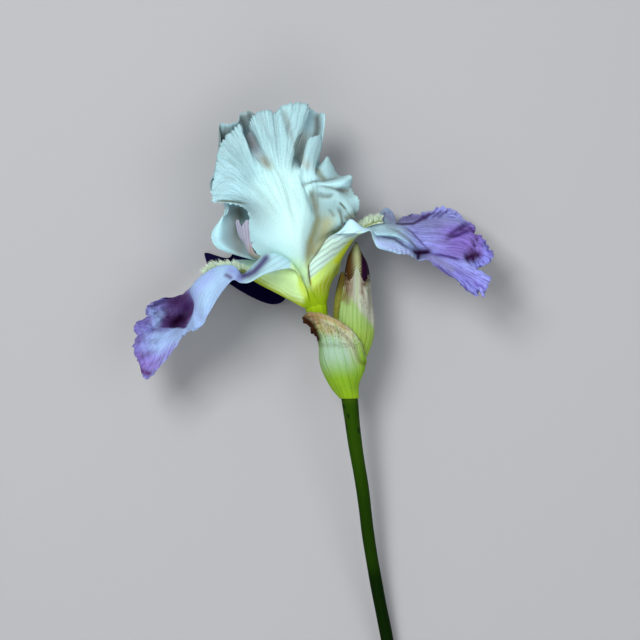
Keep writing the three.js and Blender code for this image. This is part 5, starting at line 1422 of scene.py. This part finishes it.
def build_fall_right(violet):
    """The right fall: folds, two crumpled places, and lobes along its far margin. Returns its grid."""
    grid = pucker(soften(loft(FALL_RIGHT, rows=170, columns=150), passes=12), depth=0.05, count=8, seed=49)
    places = [([(74, 35), (76, 28), (72, 25)], 4.5), ([(72, 15), (74, 12)], 4)]
    grid = crumple(crease(grid, 1, FALL_RIGHT_FOLDS), places, depth=0.8, pitch=4, seed=47)
    grid = flutter(grid, depth=0.6, count=9, seed=43)
    grid = frill(grid, pitch=3.4, depth=1.8, swell=1.1, seed=45, start=0.5, flanks=1.0)
    s, t = shares(grid)
    lobes = rim_wave(grid[:, 0], pitch=4.6, seed=46)[:, None] * rise(-0.5, -1, t) * rise(0.5, 0.65, s)
    grid = grid + 2.4 * lobes[..., None] * np.array([0, 1, 0])
    petal("fall_right", grid, violet, "fall", paint_fall_right, rise(0.42, 0.6, s))
    return grid


def build_fall_back(violet):
    """The back fall, smooth. Returns its grid."""
    grid = soften(loft(FALL_BACK, rows=90, columns=80), passes=30)
    petal("fall_back", grid, violet, "fall_shade", paint_fall_back)
    return grid


def build_petals():
    """The six petals and their two materials. Returns the grids of the three falls."""
    white = petal_material("white petal", veins=46.0, vein_colour=(0.70, 0.77, 0.78), vein_share=0.5,
                           mottle_colour=(0.80, 0.84, 0.86), mottle_share=0.45, relief=0.6)
    violet = petal_material("violet petal", veins=44.0, vein_colour=(0.38, 0.24, 0.54), vein_share=0.58,
                            mottle_colour=(0.55, 0.44, 0.75), mottle_share=0.8, relief=0.7)
    build_standard_front(white)
    build_standards_back(white)
    return build_fall_left(violet), build_fall_right(violet), build_fall_back(violet)


def build_style_arms():
    """The three style arms with their crests."""
    crest = petal_material("style crest", veins=16.0, vein_colour=(0.8, 0.75, 0.85), vein_share=0.4,
                           mottle_colour=(0.8, 0.75, 0.85), mottle_share=0.4, relief=0.5)
    for name, sections in (("left", STYLE_ARM_LEFT), ("right", STYLE_ARM_RIGHT), ("back", STYLE_ARM_BACK)):
        grid = soften(loft(sections, rows=60, columns=36), passes=12)
        grid = frill(grid, pitch=2.6, depth=0.5, swell=0.3, seed=51)
        petal("style_arm_" + name, grid, crest, "style", paint_style)


def build_beards(left, right, back):
    """A beard on each fall's grid; the hairs of the right one lean towards +Y."""
    fur = beard_material()
    beard("beard_left", left, start=0.308, end=0.592, upper=-1, width=1.6, length=5.2, count=900, seed=11,
          material=fur)
    beard("beard_right", right, start=0.325, end=0.53, upper=1, width=1.7, length=5.4, count=1100, seed=23,
          material=fur, tilt=np.array([0.1, 0.75, 0]))
    beard("beard_back", back, start=0.51, end=0.69, upper=1, width=1.5, length=4, count=700, seed=31,
          material=fur)


def anther_bulge(a, u):
    """Four lengthwise grooves on the anther, none on the filament."""
    return 1 - 0.12 * rise(0.55, 0.65, u) * np.cos(4 * a)


def build_stamens():
    """The three stamens."""
    cream = stamen_material()
    for name, line in (("left", STAMEN_LEFT), ("right", STAMEN_RIGHT), ("back", STAMEN_BACK)):
        solid = rod(line, 60, 20, paint_stamen, anther_bulge)
        solid.piece("filament_" + name, cream, "stamen_" + name, "stamen")


def paper(s, t):
    """Thickness of a bract, thinner towards its margin."""
    return 0.62 - 0.3 * rise(0.75, 1, np.maximum(s, np.abs(t)))


def build_outer_bract():
    """The open flower's bract, withered near its upper margin and along two lines below that."""
    grid = soften(loft(OUTER_BRACT, rows=110, columns=130), passes=14)
    grid = crease(grid, -1, [([(3, -3), (10, -8), (17, -14)], 2.0, 0.35)])
    grid = crumple(grid, [([(-8, 1), (-4, -1), (-2, -7)], 3)], depth=0.7, pitch=3, seed=67)
    grid = flutter(grid, depth=0.5, count=7, seed=61)
    grid = frill(grid, pitch=2.8, depth=0.7, swell=0.3, seed=63)
    x, y = grid[..., 0], grid[..., 1]
    wither = (mark(x, y, [(-8, 1), (-4, -3), (4, -2), (12, -5), (18, -11)], 3.5)
              + 0.9 * mark(x, y, [(0, -11.3), (16, -12)], 0.9)
              + 0.5 * mark(x, y, [(1, -7), (14, -8)], 3.0) + 0.08)
    cover = sheet(grid, paper, paint_outer, BRACT_SHADE, np.clip(wither, 0, 1))
    green = bract_material("outer bract", veins=14.0, dryness=0.35)
    cover.piece("spathe_outer", green, "outer_bract", "bract")


def build_bud_bracts():
    """The bud's two bracts; the front one is withered at its top, on both sides of a fresh strip."""
    papers = bract_material("bud bract", veins=13.0, dryness=0.45)
    front = soften(loft(BUD_BRACT_FRONT, rows=120, columns=100), passes=14)
    places = [([(12, 20), (12, 14)], 2.5), ([(22.5, 19), (21.5, 14)], 2.5)]
    front = crumple(front, places, depth=0.35, pitch=2.5, seed=77)
    front = flutter(front, depth=0.4, count=6, seed=71)
    front = frill(front, pitch=2.2, depth=0.9, swell=0.3, seed=73, reach=0.1)
    x, y = front[..., 0], front[..., 1]
    wither = (0.8 * rise(9, 14, y + 1.2 * (x - 14)) * rise(1.0, 2.2, np.abs(x - 16.6))
              * rise(22, 19.5, x + 0.3 * (y - 10)) + 0.12)
    cover = sheet(front, paper, paint_bud_front, BRACT_SHADE, np.clip(wither, 0, 1))
    cover.piece("spathe_bud_front", papers, "bud_bract_front", "bract")
    back = soften(loft(BUD_BRACT_BACK, rows=110, columns=80), passes=14)
    back = flutter(back, depth=0.4, count=6, seed=81)
    back = frill(back, pitch=2.2, depth=0.9, swell=0.3, seed=83, reach=0.1)
    cover = sheet(back, paper, paint_bud_back, BRACT_SHADE)
    cover.piece("spathe_bud_back", papers, "bud_bract_back", "bract")


def bud_bulge(a, u):
    """Swellings that turn slowly round the bud, which is flatter at its front and back."""
    turns = 1 + 0.03 * np.cos(3 * a + 5 * u) + 0.03 * np.cos(7 * a + 12 * u) * rise(1, 0.7, u)
    return turns * (1 - 0.15 * np.sin(a) ** 2)


def build_bud():
    """The bud's rolled petals."""
    rolled = rod(BUD, 150, 96, paint_bud, bud_bulge)
    rolled.piece("bud_petals", bud_material(), "bud", "bud")


def tube_bulge(a, u):
    """Six low ribs on the ovary, none at the mouth."""
    return 1 + 0.03 * np.cos(6 * a) * rise(0.1, 0.3, u) * rise(0.6, 0.45, u)


def build_tube():
    """The tube of the open flower with its ovary, and above its mouth a shoulder that narrows."""
    tube = rod(TUBE + TUBE_SHOULDER, 100, 72, paint_tube, tube_bulge)
    tube.piece("tube_skin", stem_material("tube skin", ridges=12.0), "perianth_tube", "tube")


def stem_bulge(a, u):
    """Nine low ridges and a slight unevenness along the stem."""
    return 1 + 0.012 * np.cos(9 * a) + 0.01 * np.sin(40 * u + 2 * a)


def build_stem():
    """The stem."""
    stalk = rod(STEM, 420, 64, paint_stem, stem_bulge)
    stalk.piece("stem_skin", stem_material("stem skin", ridges=22.0), "stem", "stem")


def build_floor():
    """Plain pale floor."""
    mesh = bpy.data.meshes.new("floor")
    corners = [(-FLOOR, -FLOOR, 0), (FLOOR, -FLOOR, 0), (FLOOR, FLOOR, 0), (-FLOOR, FLOOR, 0)]
    mesh.from_pydata(corners, [], [(0, 1, 2, 3)])
    floor = bpy.data.objects.new("floor", mesh)
    bpy.context.scene.collection.objects.link(floor)
    m = Maker("floor")
    grain = m.noise(m.place(), 3.0, 2.0)
    colour = m.mix(grain * 0.1, (0.42, 0.43, 0.45), (0.38, 0.39, 0.41))
    mesh.materials.append(m.finish(colour, 0.7, grain, 0.0001, {"Specular IOR Level": 0.2}))


def area_light(name, place, size, power, colour):
    """Soft square light at a place, turned towards the flower."""
    data = bpy.data.lights.new(name, "AREA")
    data.shape = "SQUARE"
    data.size = size
    data.energy = power
    data.color = colour
    light = bpy.data.objects.new(name, data)
    light.location = place
    back = np.array(place) - np.array(LIT_POINT)
    tilt = math.atan2(math.hypot(back[0], back[1]), back[2])
    light.rotation_euler = (tilt, 0, math.atan2(back[1], back[0]) + math.pi / 2)
    bpy.context.scene.collection.objects.link(light)


def build_lights():
    """Three soft lights from above and a dim even sky."""
    for light in LIGHTS:
        area_light(*light)
    world = bpy.data.worlds.new("studio")
    world.use_nodes = True
    back = world.node_tree.nodes["Background"]
    back.inputs["Color"].default_value = (1.0, 1.0, 1.0, 1)
    back.inputs["Strength"].default_value = SKY
    bpy.context.scene.world = world


def build_camera():
    """Camera straight over the flower, so high that a pixel is PIXEL wide at the flower's middle height."""
    camera = bpy.data.cameras.new("camera")
    camera.lens = LENS
    camera.sensor_width = SENSOR
    camera.clip_end = 10
    eye = bpy.data.objects.new("camera", camera)
    reach = PIXELS * PIXEL * LENS / SENSOR
    eye.location = (SHIFT[0] * MM, SHIFT[1] * MM, (MIDDLE_HEIGHT + reach) * MM)
    bpy.context.scene.collection.objects.link(eye)
    bpy.context.scene.camera = eye
    bpy.context.scene.view_settings.view_transform = "Standard"


build_floor()
build_lights()
build_camera()
falls = build_petals()
build_style_arms()
build_beards(*falls)
build_stamens()
build_outer_bract()
build_bud_bracts()
build_bud()
build_tube()
build_stem()
